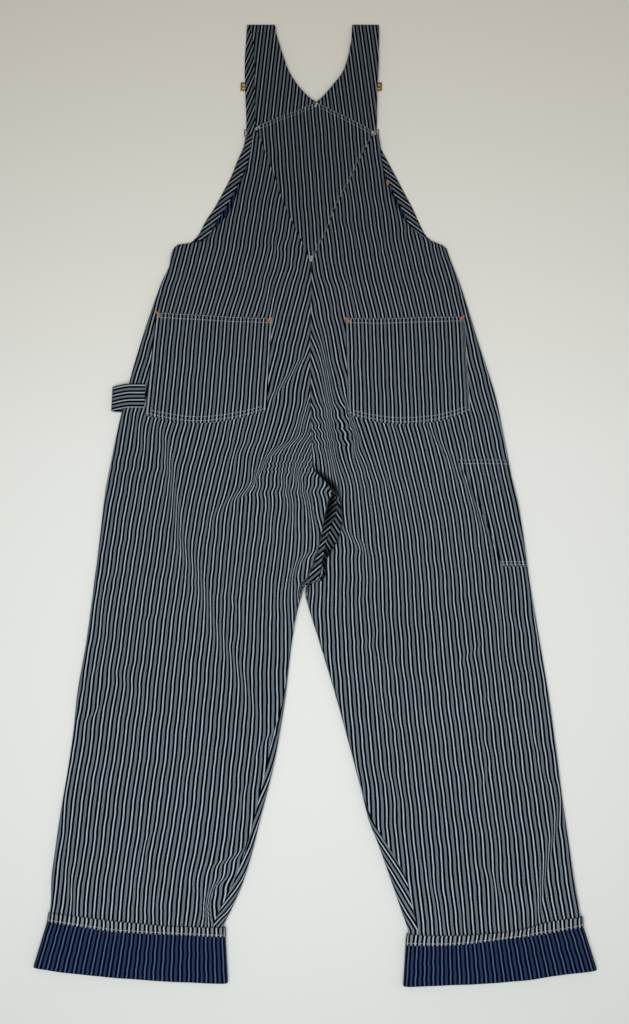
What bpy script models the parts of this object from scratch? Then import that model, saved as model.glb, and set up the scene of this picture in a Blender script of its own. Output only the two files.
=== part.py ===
"""Bib overalls in striped cotton drill, laid flat on a floor with the back upwards.

Every piece that is cut and sewn is a wall of cloth. X runs across, from the wearer's left to the right,
+Y runs up to the straps, +Z is up, and the front of the garment lies on z = 0. Metres.
"""
from collections import namedtuple
import math

import bmesh
import bpy
from mathutils import Vector

CLOTH = 0.0015            # one ply, hems and felled seams evened out
GAP = 0.0003              # between pieces that touch
LAYER = CLOTH + GAP       # what one more ply adds
CUFF_GAP = 0.0005         # between a leg and its turn-up
CUFF_FLOOR = CLOTH + CUFF_GAP  # underside of the leg inside its turn-up
LEG_TOP = 0.0120          # height of the upper face over the legs and hips
CHEST_TOP = 0.0105        # height of the upper face over the bib
SIDE_ROLL = 0.0070        # how far in from a side seam the cloth turns over
EDGE_ROLL = 0.0200        # how far in from a free edge the cloth begins to droop
SIDE_WALL = 0.0010        # upright part of the roll on each side of a seam
BULGE_REACH = 0.0900      # how far the bunched cloth at the crotch reaches across
CROTCH_EASE = 0.07        # share of the bulge by which the seams there open
SHARE_ACROSS = (0.2, 0.42, 0.64, 0.85, 0.93)
ROLL_ANGLES = tuple(map(math.radians, (0, 45, 90)))

STRAP_WIDTH = 0.0420
FACING_WIDTH = 0.0165
BIB_RAISED = 0.0048       # underside of the bib over its buttons and hooks
LOOP_LOW, LOOP_HIGH = 0.0605, 0.0965
BRASS_WIRE = 0.0011       # radius
WIRE_HEIGHT = 0.0029
BUTTON_RADIUS = 0.0085
SLIDER_LENGTH, SLIDER_WIDTH, SLIDER_BAR = 0.0560, 0.0150, 0.0030
SLIDER_THICKNESS = 0.0018

# A section across one leg or one half of the body, from its side seam (outer) to the inseam or centre
# seam (inner). parted: 0 where the two halves are sewn together, 1 where the inner edge rolls over.
# bulge: extra height at the inner edge. back_edge, front_edge: height of a free outer edge.
Row = namedtuple(
    "Row",
    "outer_x outer_y inner_x inner_y floor top bulge parted back_edge front_edge",
    defaults=(0.0, LEG_TOP, 0.0, 0.0, None, None),
)
LEFT_LEG = (
    Row(-0.3510, -0.6820, -0.1120, -0.6965, CUFF_FLOOR, 0.0130, 0.0, 1.0),
    Row(-0.3410, -0.6300, -0.1170, -0.6475, CUFF_FLOOR, 0.0130, 0.0, 1.0),
    Row(-0.3390, -0.6140, -0.1110, -0.6300, 0.0, LEG_TOP, 0.0, 1.0),
    Row(-0.3395, -0.5800, -0.0915, -0.5800, 0.0, LEG_TOP, 0.0, 1.0),
    Row(-0.3335, -0.5060, -0.0720, -0.5060, 0.0, LEG_TOP, 0.0, 1.0),
    Row(-0.3250, -0.4300, -0.0535, -0.4300, 0.0, LEG_TOP, 0.0, 1.0),
    Row(-0.3198, -0.3520, -0.0405, -0.3520, 0.0, LEG_TOP, 0.0, 1.0),
    Row(-0.3105, -0.2720, -0.0315, -0.2720, 0.0, LEG_TOP, 0.001, 1.0),
    Row(-0.3056, -0.2100, -0.0170, -0.2040, 0.0, LEG_TOP, 0.003, 1.0),
    Row(-0.3043, -0.1900, 0.0025, -0.1880, 0.0, LEG_TOP, 0.004, 0.5),
    Row(-0.3005, -0.1470, 0.0149, -0.1470, 0.0, LEG_TOP, 0.005),
    Row(-0.2968, -0.0830, 0.0154, -0.0830, 0.0, LEG_TOP, 0.006),
    Row(-0.2886, -0.0170, -0.0022, -0.0170, 0.0, LEG_TOP, 0.003),
    Row(-0.2822, 0.0275, -0.0032, 0.0275),
    Row(-0.2735, 0.0727, -0.0037, 0.0727),
    Row(-0.2646, 0.1186, -0.0037, 0.1186),
    Row(-0.2535, 0.1651, -0.0040, 0.1651),
    Row(-0.2407, 0.2124, -0.0042, 0.2124),
    Row(-0.2263, 0.2604, -0.0047, 0.2604),
    Row(-0.2165, 0.2880, -0.0052, 0.2880),
)
RIGHT_LEG = (
    Row(0.3515, -0.6840, 0.1125, -0.7045, CUFF_FLOOR, 0.0130, 0.0, 1.0),
    Row(0.3405, -0.6345, 0.1185, -0.6555, CUFF_FLOOR, 0.0130, 0.0, 1.0),
    Row(0.3370, -0.6180, 0.1165, -0.6380, 0.0, LEG_TOP, 0.0, 1.0),
    Row(0.3335, -0.5800, 0.0972, -0.5800, 0.0, LEG_TOP, 0.0, 1.0),
    Row(0.3262, -0.5060, 0.0698, -0.5060, 0.0, LEG_TOP, 0.0, 1.0),
    Row(0.3201, -0.4300, 0.0503, -0.4300, 0.0, LEG_TOP, 0.0, 1.0),
    Row(0.3137, -0.3520, 0.0291, -0.3520, 0.0, LEG_TOP, 0.0, 1.0),
    Row(0.3045, -0.2720, 0.0051, -0.2720, 0.0, LEG_TOP, 0.001, 1.0),
    Row(0.2968, -0.2100, -0.0140, -0.2060, 0.0, LEG_TOP, 0.003, 1.0),
    Row(0.2950, -0.1900, 0.0031, -0.1880, 0.0, LEG_TOP, 0.004, 0.5),
    Row(0.2916, -0.1470, 0.0153, -0.1470, 0.0, LEG_TOP, 0.005),
    Row(0.2850, -0.0830, 0.0158, -0.0830, 0.0, LEG_TOP, 0.006),
    Row(0.2739, -0.0170, -0.0018, -0.0170, 0.0, LEG_TOP, 0.003),
    Row(0.2674, 0.0275, -0.0028, 0.0275),
    Row(0.2607, 0.0727, -0.0033, 0.0727),
    Row(0.2496, 0.1186, -0.0033, 0.1186),
    Row(0.2370, 0.1651, -0.0036, 0.1651),
    Row(0.2255, 0.2124, -0.0038, 0.2124),
    Row(0.2125, 0.2604, -0.0043, 0.2604),
    Row(0.2040, 0.2880, -0.0048, 0.2880),
)
FRONT_WAIST = {
    "left": Row(-0.2141, 0.3000, -0.0055, 0.3000, front_edge=0.0012),
    "right": Row(0.1985, 0.3000, -0.0051, 0.3000, front_edge=0.0012),
}
LEG = {"left": LEFT_LEG, "right": RIGHT_LEG}

# The back above the waist: the armhole edge on each side, and the diamond yoke between the halves.
Chest = namedtuple(
    "Chest", "left_x left_y yoke_left yoke_right yoke_y right_x right_y top edge"
)
CHEST = (
    Chest(-0.2155, 0.2970, -0.0095, -0.0032, 0.2970, 0.2005, 0.2970, 0.0120, 0.0072),
    Chest(-0.2140, 0.3060, -0.0135, 0.0015, 0.3060, 0.1980, 0.3060, 0.0118, 0.0072),
    Chest(-0.2050, 0.3200, -0.0170, 0.0055, 0.3150, 0.1955, 0.3140, 0.0116, 0.0072),
    Chest(-0.1718, 0.3225, -0.0200, 0.0088, 0.3225, 0.1640, 0.3304, 0.0114, 0.0072),
    Chest(-0.1543, 0.3420, -0.0285, 0.0178, 0.3420, 0.1452, 0.3470, 0.0110, 0.0072),
    Chest(-0.1316, 0.3700, -0.0405, 0.0266, 0.3700, 0.1300, 0.3680, CHEST_TOP, 0.0072),
    Chest(-0.1209, 0.3950, -0.0500, 0.0378, 0.3950, 0.1200, 0.3930, CHEST_TOP, 0.0072),
    Chest(-0.1129, 0.4220, -0.0585, 0.0510, 0.4220, 0.1100, 0.4180, CHEST_TOP, 0.0075),
    Chest(-0.1015, 0.4550, -0.0695, 0.0645, 0.4550, 0.1025, 0.4550, CHEST_TOP, 0.0092),
    Chest(-0.0955, 0.4990, -0.0850, 0.0865, 0.4990, 0.0980, 0.4990, CHEST_TOP, 0.0103),
    Chest(-0.0945, 0.5120, -0.0895, 0.0900, 0.5055, 0.0955, 0.5060, CHEST_TOP, 0.0103),
)
# The yoke's upper part, from its side corners to the point of the neck.
Span = namedtuple("Span", "left_x left_y right_x right_y")
YOKE_UPPER = (
    Span(-0.0909, 0.5165, 0.0918, 0.5080),
    Span(-0.0600, 0.5318, 0.0600, 0.5273),
    Span(-0.0300, 0.5455, 0.0310, 0.5434),
    Span(-0.0020, 0.5580, 0.0050, 0.5575),
)

# Bib, lying face down under the back: its edges at each height, and how high its underside lies.
Bib = namedtuple("Bib", "y left_x right_x floor")
BIB = (
    Bib(0.2900, -0.2050, 0.1920, LAYER),
    Bib(0.3060, -0.2050, 0.1920, LAYER),
    Bib(0.3180, -0.1950, 0.1860, LAYER),
    Bib(0.3337, -0.1766, 0.1671, LAYER),
    Bib(0.3585, -0.1652, 0.1557, LAYER),
    Bib(0.3835, -0.1508, 0.1458, LAYER),
    Bib(0.4087, -0.1393, 0.1343, LAYER),
    Bib(0.4341, -0.1277, 0.1227, LAYER),
    Bib(0.4597, -0.1190, 0.1109, 0.0030),
    Bib(0.4855, -0.1088, 0.0992, BIB_RAISED),
    Bib(0.5050, -0.1061, 0.0965, BIB_RAISED),
)
BIB_POCKET = (Span(-0.105, 0.312, 0.105, 0.312), Span(-0.112, 0.4205, 0.112, 0.4205))

# A strap from the yoke up its back part, over the fold at the shoulder and down its front part, on
# through the hook at the bib and back up below itself. height is the middle of the ply.
StrapRow = namedtuple("StrapRow", "outer_x outer_y inner_x inner_y height")
STRAP_BACK = {
    "left": (
        StrapRow(-0.0912, 0.5180, 0.0008, 0.5600, 0.00975),
        StrapRow(-0.0925, 0.5400, -0.0060, 0.5660, 0.00960),
        StrapRow(-0.0930, 0.5650, -0.0126, 0.5729, 0.00920),
        StrapRow(-0.0935, 0.5907, -0.0266, 0.5907, 0.00870),
        StrapRow(-0.0940, 0.6170, -0.0410, 0.6170, 0.00800),
        StrapRow(-0.0955, 0.6445, -0.0492, 0.6445, 0.00720),
        StrapRow(-0.0970, 0.6718, -0.0524, 0.6718, 0.00640),
        StrapRow(-0.0995, 0.6865, -0.0575, 0.6865, 0.00600),
    ),
    "right": (
        StrapRow(0.0925, 0.5098, 0.0022, 0.5600, 0.00975),
        StrapRow(0.0965, 0.5377, 0.0075, 0.5655, 0.00960),
        StrapRow(0.0975, 0.5640, 0.0122, 0.5711, 0.00920),
        StrapRow(0.0980, 0.5907, 0.0262, 0.5907, 0.00870),
        StrapRow(0.1017, 0.6170, 0.0437, 0.6170, 0.00800),
        StrapRow(0.1047, 0.6445, 0.0500, 0.6445, 0.00720),
        StrapRow(0.1056, 0.6718, 0.0534, 0.6718, 0.00640),
        StrapRow(0.1020, 0.6865, 0.0580, 0.6865, 0.00600),
    ),
}
FrontRow = namedtuple("FrontRow", "y height left_outer right_outer")
STRAP_FRONT = (
    FrontRow(0.6985, 0.00550, -0.1065, 0.0995),
    FrontRow(0.7030, 0.00470, -0.1070, 0.0992),
    FrontRow(0.7043, 0.00330, -0.1070, 0.0992),
    FrontRow(0.7025, 0.00180, -0.1072, 0.0993),
    FrontRow(0.6970, 0.00090, -0.1075, 0.0998),
    FrontRow(0.6718, 0.00075, -0.1090, 0.1030),
    FrontRow(0.6445, 0.00075, -0.1110, 0.1030),
    FrontRow(0.6150, 0.00080, -0.1105, 0.1000),
    FrontRow(0.6030, 0.00290, -0.1095, 0.0985),
    FrontRow(0.5855, 0.00290, -0.1090, 0.0970),
    FrontRow(0.5640, 0.00260, -0.1080, 0.0962),
    FrontRow(0.5377, 0.00260, -0.1066, 0.0957),
    FrontRow(0.5270, 0.00380, -0.1063, 0.0954),
    FrontRow(0.5180, 0.00510, -0.1061, 0.0952),
    FrontRow(0.5105, 0.00460, -0.1061, 0.0952),
    FrontRow(0.5080, 0.00290, -0.1061, 0.0952),
    FrontRow(0.5105, 0.00120, -0.1061, 0.0952),
    FrontRow(0.5170, 0.00075, -0.1061, 0.0952),
    FrontRow(0.5820, 0.00075, -0.1080, 0.0965),
)
SLIDER_Y = 0.5942
HOOK_Y = 0.5165           # the bar inside the strap's loop
BUTTON_Y = 0.4895
FASTENER_X = {"left": -0.0850, "right": 0.0742}
SLIDER_X = {"left": -0.0885, "right": 0.0765}

# Patch pockets on the seat: corners, and how far the bottom edge dips below them.
Patch = namedtuple(
    "Patch", "top_outer_x top_outer_y top_inner_x top_inner_y low_outer_x low_outer_y"
    " low_inner_x low_inner_y dip"
)
BACK_POCKET = {
    "left": Patch(-0.2325, 0.2076, -0.0632, 0.1981, -0.2434, 0.0560, -0.0690, 0.0575, 0.0165),
    "right": Patch(0.2178, 0.2013, 0.0436, 0.1981, 0.2214, 0.0560, 0.0483, 0.0505, 0.0165),
}
# The rule pocket on the right thigh: its slanting inner edge. It runs out to the side seam.
RuleRow = namedtuple("RuleRow", "y inner_x")
RULE_POCKET = (
    RuleRow(-0.0180, 0.2004),
    RuleRow(-0.0520, 0.2161),
    RuleRow(-0.0830, 0.2285),
    RuleRow(-0.1260, 0.2441),
    RuleRow(-0.1470, 0.2500),
    RuleRow(-0.1640, 0.2549),
)
# The hammer loop's path across, from the seat pocket out past the side seam and back below.
LoopRow = namedtuple("LoopRow", "x height")
HAMMER_LOOP = (
    LoopRow(-0.2440, 0.01310),
    LoopRow(-0.2640, 0.01310),
    LoopRow(-0.2740, 0.01290),
    LoopRow(-0.2830, 0.01180),
    LoopRow(-0.2895, 0.00960),
    LoopRow(-0.2918, 0.00650),
    LoopRow(-0.2895, 0.00320),
    LoopRow(-0.2840, 0.00140),
    LoopRow(-0.2785, 0.00140),
    LoopRow(-0.2757, 0.00330),
)
# Largest folds of the upper cloth, each a soft ridge (or a trough, below zero) between two points.
Fold = namedtuple("Fold", "x0 y0 x1 y1 height width")
FOLDS = (
    Fold(-0.206, -0.025, -0.188, -0.135, 0.0022, 0.016),
    Fold(-0.188, -0.135, -0.066, -0.390, 0.0026, 0.020),
    Fold(-0.020, 0.005, -0.120, -0.083, 0.0020, 0.018),
    Fold(0.013, 0.110, 0.025, -0.060, 0.0040, 0.014),
    Fold(0.037, -0.129, 0.075, -0.171, 0.0020, 0.016),
    Fold(-0.050, -0.507, -0.104, -0.616, 0.0012, 0.016),
    Fold(0.240, -0.500, 0.222, -0.630, 0.0012, 0.018),
)

COLOURS = {
    "striped_face": (0.150, 0.165, 0.195, 1.0),
    "reverse": (0.040, 0.065, 0.140, 1.0),
    "brass": (0.600, 0.420, 0.140, 1.0),
}


def new_material(name):
    material = bpy.data.materials.new(name)
    material.use_nodes = True
    shader = material.node_tree.nodes["Principled BSDF"]
    shader.inputs["Base Color"].default_value = COLOURS[name]
    shader.inputs["Roughness"].default_value = 0.30 if name == "brass" else 0.90
    shader.inputs["Metallic"].default_value = 1.0 if name == "brass" else 0.0
    return material


def add_object(name, data, colour):
    piece = bpy.data.objects.new(name, data)
    GARMENT.objects.link(piece)
    data.materials.append(MATERIALS[colour])
    return piece


def wall_from_grid(name, grid, colour, outward=None, wall_side=-1.0, ring=False):
    """A ply of cloth from a grid of points. outward tells which way the grid's faces should point,
    as a function of a face centre; wall_side is -1 to thicken inwards, 1 outwards, 0 both ways."""
    mesh = bpy.data.meshes.new(name)
    shape = bmesh.new()
    points = [[shape.verts.new(point) for point in line] for line in grid]
    for lower, upper in zip(points, points[1:]):
        count = len(lower) if ring else len(lower) - 1
        for i in range(count):
            j = (i + 1) % len(lower)
            shape.faces.new((lower[i], lower[j], upper[j], upper[i]))
    shape.normal_update()
    facing = sum(
        face.normal.dot(outward(face.calc_center_median())) * face.calc_area()
        for face in shape.faces
    )
    if facing < 0:
        bmesh.ops.reverse_faces(shape, faces=shape.faces[:])
    shape.to_mesh(mesh)
    shape.free()
    piece = add_object(name, mesh, colour)
    wall = piece.modifiers.new("Cloth", "SOLIDIFY")
    wall.thickness = CLOTH
    wall.offset = wall_side
    return piece


def upwards(_centre):
    return Vector((0, 0, 1))


def downwards(_centre):
    return Vector((0, 0, -1))


def soft_step(value):
    value = min(max(value, 0.0), 1.0)
    return value * value * (3 - 2 * value)


def fold_height(x, y):
    """Height that the folds add at a point of the upper cloth."""
    total = 0.0
    for fold in FOLDS:
        start = Vector((fold.x0, fold.y0))
        run = Vector((fold.x1, fold.y1)) - start
        share = min(max((Vector((x, y)) - start).dot(run) / run.length_squared, 0), 1)
        away = (Vector((x, y)) - start - run * share).length
        total += fold.height * math.exp(-((away / fold.width) ** 2))
    return total


def between(low, high, share):
    """The section at a share of the way from one row to the next."""
    values = [
        a if a is None or b is None else a + (b - a) * share for a, b in zip(low, high)
    ]
    return type(low)(*values)


def section(row, face, grow=0.0, shares=SHARE_ACROSS, seams=True):
    """Points across a leg or half of the body, side seam first, moved out by grow.

    face is "back" or "front". The cloth stands up at the side seam, rolls over, and runs flat."""
    outer = Vector((row.outer_x, row.outer_y))
    inner = Vector((row.inner_x, row.inner_y))
    width = (inner - outer).length
    across = (inner - outer) / width
    is_back = face == "back"
    free = row.back_edge if is_back else row.front_edge
    roll = min(EDGE_ROLL if free and is_back else SIDE_ROLL, 0.4 * width)
    sign = 1.0 if is_back else -1.0

    def lay(distance, lift, edge):
        """One point: lift 0 is on the upright at an edge, 1 is on the flat, -1 is on the seam."""
        near_inner = soft_step(1 - (width - distance) / BULGE_REACH)
        top = row.top + row.bulge * near_inner
        middle = (row.floor + top) / 2
        flat = top + grow if is_back else row.floor - grow
        start = edge if edge else middle + sign * SIDE_WALL
        height = start + (flat - start) * max(lift, 0)
        if lift < 0:
            half_gap = GAP / 2 + row.bulge * CROTCH_EASE
            height = edge - sign * GAP if edge else middle + sign * half_gap
        if is_back:
            place = outer + across * distance
            height += fold_height(place.x, place.y) * max(lift, 0)
        return height

    def at(distance, height):
        place = outer + across * distance
        return Vector((place.x, place.y, height))

    points = []
    reach = (roll + grow, roll + grow * row.parted)
    if seams:
        points.append(at(-grow, lay(0, -1, free)))
    for angle in ROLL_ANGLES:
        distance = reach[0] * (1 - math.cos(angle)) - grow
        points.append(at(distance, lay(max(distance, 0), math.sin(angle), free)))
    for share in shares:
        distance = roll + share * (width - 2 * roll)
        points.append(at(distance, lay(distance, 1, None)))
    for angle in reversed(ROLL_ANGLES):
        inset = reach[1] * (1 - math.cos(angle)) - grow * row.parted
        distance = width - max(inset, SIDE_WALL * (1 - row.parted) - grow)
        rolled = lay(min(distance, width), math.sin(angle), None)
        flat = lay(min(distance, width), 1, None)
        points.append(at(distance, flat + (rolled - flat) * row.parted))
    if seams:
        rolled = lay(width, -1, None)
        flat = lay(width, 1, None)
        points.append(at(width + grow * row.parted, flat + (rolled - flat) * row.parted))
    return points


def back_rows(side):
    rows = list(LEG[side])
    for row in CHEST:
        if side == "left":
            ends = (row.left_x, row.left_y, row.yoke_left - 2 * GAP, row.yoke_y)
        else:
            ends = (row.right_x, row.right_y, row.yoke_right + 2 * GAP, row.yoke_y)
        rows.append(Row(*ends, 0.0, row.top, 0.0, 0.0, row.edge))
    return rows


def build_panels(side):
    back = [section(row, "back") for row in back_rows(side)]
    wall_from_grid("back_" + side, back, "striped_face", upwards)
    front = [section(row, "front") for row in LEG[side] + (FRONT_WAIST[side],)]
    wall_from_grid("front_" + side, front, "striped_face", downwards)


def build_leg_end(side):
    """The turn-up round the leg, reverse side out, and the hem that edges it."""
    low, high = LEG[side][0], LEG[side][1]
    bands = (("turn_up_", (-0.02, 0.4, 0.830), "reverse"), ("hem_band_", (0.836, 1.0), "striped_face"))
    for name, stations, colour in bands:
        grid = []
        for station in stations:
            row = between(low, high, station)
            upper = section(row, "back", CUFF_GAP, seams=False)
            lower = section(row, "front", CUFF_GAP, seams=False)
            grid.append(upper + lower[::-1])
        centre = (Vector(grid[0][0]) + Vector(grid[0][len(grid[0]) // 2])) / 2

        def outward(place):
            return Vector((0, 0, place.z - centre.z))

        wall_from_grid(name + side, grid, colour, outward, 1.0, ring=True)


def flat_grid(spans, heights, count):
    """Rows of evenly spaced points between two edges, at a height for each row."""
    grid = []
    for span, height in zip(spans, heights):
        left = Vector((span.left_x, span.left_y, height))
        right = Vector((span.right_x, span.right_y, height))
        grid.append([left.lerp(right, i / count) for i in range(count + 1)])
    return grid


def build_yoke():
    spans = [Span(row.yoke_left, row.yoke_y, row.yoke_right, row.yoke_y) for row in CHEST[:-1]]
    heights = [row.top for row in CHEST[:-1]] + [CHEST_TOP] * len(YOKE_UPPER)
    grid = flat_grid(spans + list(YOKE_UPPER), heights, 4)
    wall_from_grid("yoke", grid, "striped_face", upwards)


def build_bib():
    spans = [Span(row.left_x, row.y, row.right_x, row.y) for row in BIB]
    grid = flat_grid(spans, [row.floor for row in BIB], 6)
    wall_from_grid("bib", grid, "striped_face", downwards)
    grid = flat_grid(BIB_POCKET, (0.0, 0.0), 2)
    wall_from_grid("bib_pocket", grid, "striped_face", downwards)
    for side, sign in (("left", 1), ("right", -1)):
        spans = []
        rows = BIB[3:]
        for row in rows:
            edge = row.left_x if side == "left" else row.right_x
            spans.append(Span(edge, row.y, edge + sign * FACING_WIDTH, row.y))
        grid = flat_grid(spans, [row.floor + LAYER for row in rows], 1)
        wall_from_grid("bib_facing_" + side, grid, "striped_face", upwards, 1.0)


def strap_spans(side):
    """(outer point, inner point) for each row along the strap."""
    spans = [
        (Vector((r.outer_x, r.outer_y, r.height)), Vector((r.inner_x, r.inner_y, r.height)))
        for r in STRAP_BACK[side]
    ]
    inwards = STRAP_WIDTH if side == "left" else -STRAP_WIDTH
    for row in STRAP_FRONT:
        outer_x = row.left_outer if side == "left" else row.right_outer
        start = Vector((outer_x, row.y, row.height))
        spans.append((start, start + Vector((inwards, 0, 0))))
    return spans


def build_strap(side):
    grid = [[a.lerp(b, i / 2) for i in range(3)] for a, b in strap_spans(side)]
    first_rows_up = len(STRAP_BACK[side])

    def outward(place):
        return Vector((0, 0, 1 if place.z > STRAP_BACK[side][first_rows_up - 1].height else 0))

    wall_from_grid("strap_" + side, grid, "striped_face", outward, 0.0)


def build_patch_pocket(side):
    patch = BACK_POCKET[side]
    top_outer = Vector((patch.top_outer_x, patch.top_outer_y))
    top_inner = Vector((patch.top_inner_x, patch.top_inner_y))
    low_outer = Vector((patch.low_outer_x, patch.low_outer_y))
    low_inner = Vector((patch.low_inner_x, patch.low_inner_y))
    columns = 6
    grid = []
    for down in (0.0, 0.33, 0.66, 1.0):
        line = []
        for i in range(columns + 1):
            share = i / columns
            top = top_outer.lerp(top_inner, share)
            low = low_outer.lerp(low_inner, share)
            low.y -= patch.dip * math.sin(math.pi * share)
            place = top.lerp(low, down)
            line.append(Vector((place.x, place.y, LEG_TOP + GAP)))
        grid.append(line)
    wall_from_grid("back_pocket_" + side, grid, "striped_face", upwards, 1.0)


def build_rule_pocket():
    """Laid on the right back from its own sections, so that it follows the roll at the side seam."""
    rows = back_rows("right")
    grid = []
    for rule in RULE_POCKET:
        low, high = next(pair for pair in zip(rows, rows[1:]) if pair[1].outer_y >= rule.y)
        share = (rule.y - low.outer_y) / (high.outer_y - low.outer_y)
        rolled = section(between(low, high, share), "back", GAP)[2:4]
        edge = Vector((rule.inner_x, rule.y, rolled[-1].z))
        grid.append(rolled + [rolled[-1].lerp(edge, 0.5), edge])
    wall_from_grid("rule_pocket", grid, "striped_face", upwards, 1.0)


def build_hammer_loop():
    grid = [
        [Vector((row.x, y, row.height)) for y in (LOOP_LOW, LOOP_HIGH)] for row in HAMMER_LOOP
    ]

    def outward(place):
        return Vector((0, 0, 1 if place.z > LEG_TOP else 0))

    wall_from_grid("hammer_loop", grid, "striped_face", outward, 0.0)


def build_slider(side):
    """A brass slide: a flat frame with a bar across its middle, below the strap's front part."""
    curve = bpy.data.curves.new("slider_" + side, "CURVE")
    curve.dimensions = "2D"
    curve.fill_mode = "BOTH"
    curve.extrude = SLIDER_THICKNESS / 2
    half_length, half_width = SLIDER_LENGTH / 2, SLIDER_WIDTH / 2
    window = half_width - SLIDER_BAR
    outlines = [(-half_length, half_length, -half_width, half_width)]
    for low, high in ((-window, -SLIDER_BAR / 2), (SLIDER_BAR / 2, window)):
        outlines.append((-half_length + SLIDER_BAR, half_length - SLIDER_BAR, low, high))
    for x0, x1, y0, y1 in outlines:
        spline = curve.splines.new("POLY")
        spline.points.add(3)
        for point, (x, y) in zip(spline.points, ((x0, y0), (x1, y0), (x1, y1), (x0, y1))):
            point.co = (x, y, 0, 1)
        spline.use_cyclic_u = True
    piece = add_object("slider_" + side, curve, "brass")
    piece.location = (SLIDER_X[side], SLIDER_Y, SLIDER_THICKNESS / 2)


def build_hook(side):
    """The wire buckle: a bar in the strap's loop, and an eye round the button's neck."""
    half_bar, shoulder = 0.0238, 0.0112
    eye = 0.0052
    down = HOOK_Y - BUTTON_Y
    outline = [(half_bar, 0.0), (half_bar, -shoulder), (eye + 0.001, -down + 0.006)]
    arc = [math.radians(angle) for angle in (20, -25, -65)]
    outline += [(eye * math.cos(a), -down + eye * math.sin(a)) for a in arc]
    outline += [(-x, y) for x, y in reversed(outline)]
    curve = bpy.data.curves.new("hook_" + side, "CURVE")
    curve.dimensions = "3D"
    curve.bevel_depth = BRASS_WIRE
    curve.bevel_resolution = 1
    curve.use_fill_caps = True
    spline = curve.splines.new("POLY")
    spline.points.add(len(outline) - 1)
    for point, (x, y) in zip(spline.points, outline):
        point.co = (x, y, 0, 1)
    spline.use_cyclic_u = True
    piece = add_object("hook_" + side, curve, "brass")
    piece.location = (FASTENER_X[side], HOOK_Y, WIRE_HEIGHT)


def build_bib_button(side):
    """A turned brass button below the bib: head on the floor, neck, and the washer at the cloth."""
    top = BIB_RAISED - GAP
    profile = [
        (0.0, top),
        (0.0045, top),
        (0.0045, top - 0.0004),
        (0.0020, top - 0.0004),
        (0.0020, 0.0014),
        (BUTTON_RADIUS, 0.0012),
        (BUTTON_RADIUS, 0.0004),
        (BUTTON_RADIUS - 0.0008, 0.0),
        (0.0, 0.0),
    ]
    mesh = bpy.data.meshes.new("bib_button_" + side)
    edges = [(i, i + 1) for i in range(len(profile) - 1)]
    mesh.from_pydata([(radius, 0, height) for radius, height in profile], edges, [])
    piece = add_object("bib_button_" + side, mesh, "brass")
    piece.location = (FASTENER_X[side], BUTTON_Y, 0)
    turn = piece.modifiers.new("Turn", "SCREW")
    turn.steps = turn.render_steps = 16
    turn.use_merge_vertices = True
    turn.merge_threshold = 0.00001
    turn.use_smooth_shade = True


for leftover in list(bpy.data.objects):
    bpy.data.objects.remove(leftover)

GARMENT = bpy.data.collections.new("Overalls")
bpy.context.scene.collection.children.link(GARMENT)
MATERIALS = {name: new_material(name) for name in COLOURS}

for each_side in ("left", "right"):
    build_panels(each_side)
    build_leg_end(each_side)
    build_strap(each_side)
    build_patch_pocket(each_side)
    build_slider(each_side)
    build_hook(each_side)
    build_bib_button(each_side)
build_yoke()
build_bib()
build_rule_pocket()
build_hammer_loop()
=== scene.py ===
"""Bib overalls in striped cotton drill, laid flat on a floor with the back upwards.

X runs across from the wearer's left to the right, +Y runs up to the straps, +Z is up. Metres.
"""

import math
from collections import namedtuple

import bpy
import numpy as np
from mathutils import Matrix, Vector


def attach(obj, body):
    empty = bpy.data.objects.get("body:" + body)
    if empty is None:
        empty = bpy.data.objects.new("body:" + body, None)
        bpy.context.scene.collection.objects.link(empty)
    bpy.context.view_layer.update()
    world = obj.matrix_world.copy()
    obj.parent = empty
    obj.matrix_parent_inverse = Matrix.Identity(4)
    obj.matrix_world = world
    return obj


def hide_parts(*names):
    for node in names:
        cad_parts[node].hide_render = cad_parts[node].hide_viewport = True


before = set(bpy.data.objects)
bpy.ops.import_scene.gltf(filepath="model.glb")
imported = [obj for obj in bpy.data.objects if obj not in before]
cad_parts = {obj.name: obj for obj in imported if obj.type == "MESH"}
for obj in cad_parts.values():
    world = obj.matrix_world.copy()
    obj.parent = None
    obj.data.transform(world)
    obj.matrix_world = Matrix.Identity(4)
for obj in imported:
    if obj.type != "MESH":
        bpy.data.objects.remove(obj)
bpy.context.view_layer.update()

STRIPE = 0.01105          # one repeat of the stripe across the cloth
TWILL = 0.0019            # from one twill line to the next
CLOTH = 0.0012            # one ply
POCKET_CLOTH = 0.0009     # of a pocket, sewn down flat
FACING_CLOTH = 0.0010
DOUBLE_CLOTH = 0.0014     # of a strap or loop, two plies sewn together
LEG_TOP = 0.0120          # height of the upper cloth over the legs and hips
CHEST_TOP = 0.0105        # and over the bib
CUFF_FLOOR = 0.0020       # underside of a leg inside its turn-up
YOKE_LIFT = 0.0011        # the yoke's face above the cloth beside it
POCKET_LIFT = 0.0014
BULGE_REACH = 0.0900
STRAP_WIDTH = 0.0420
FACING_WIDTH = 0.0165
EDGE_DROP = 0.0009        # how much lower a turned-under edge lies
CENTRE_X = 0.0120         # about where the bunched cloth at the crotch is highest


def soft_step(value):
    value = np.clip(value, 0.0, 1.0)
    return value * value * (3 - 2 * value)


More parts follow.
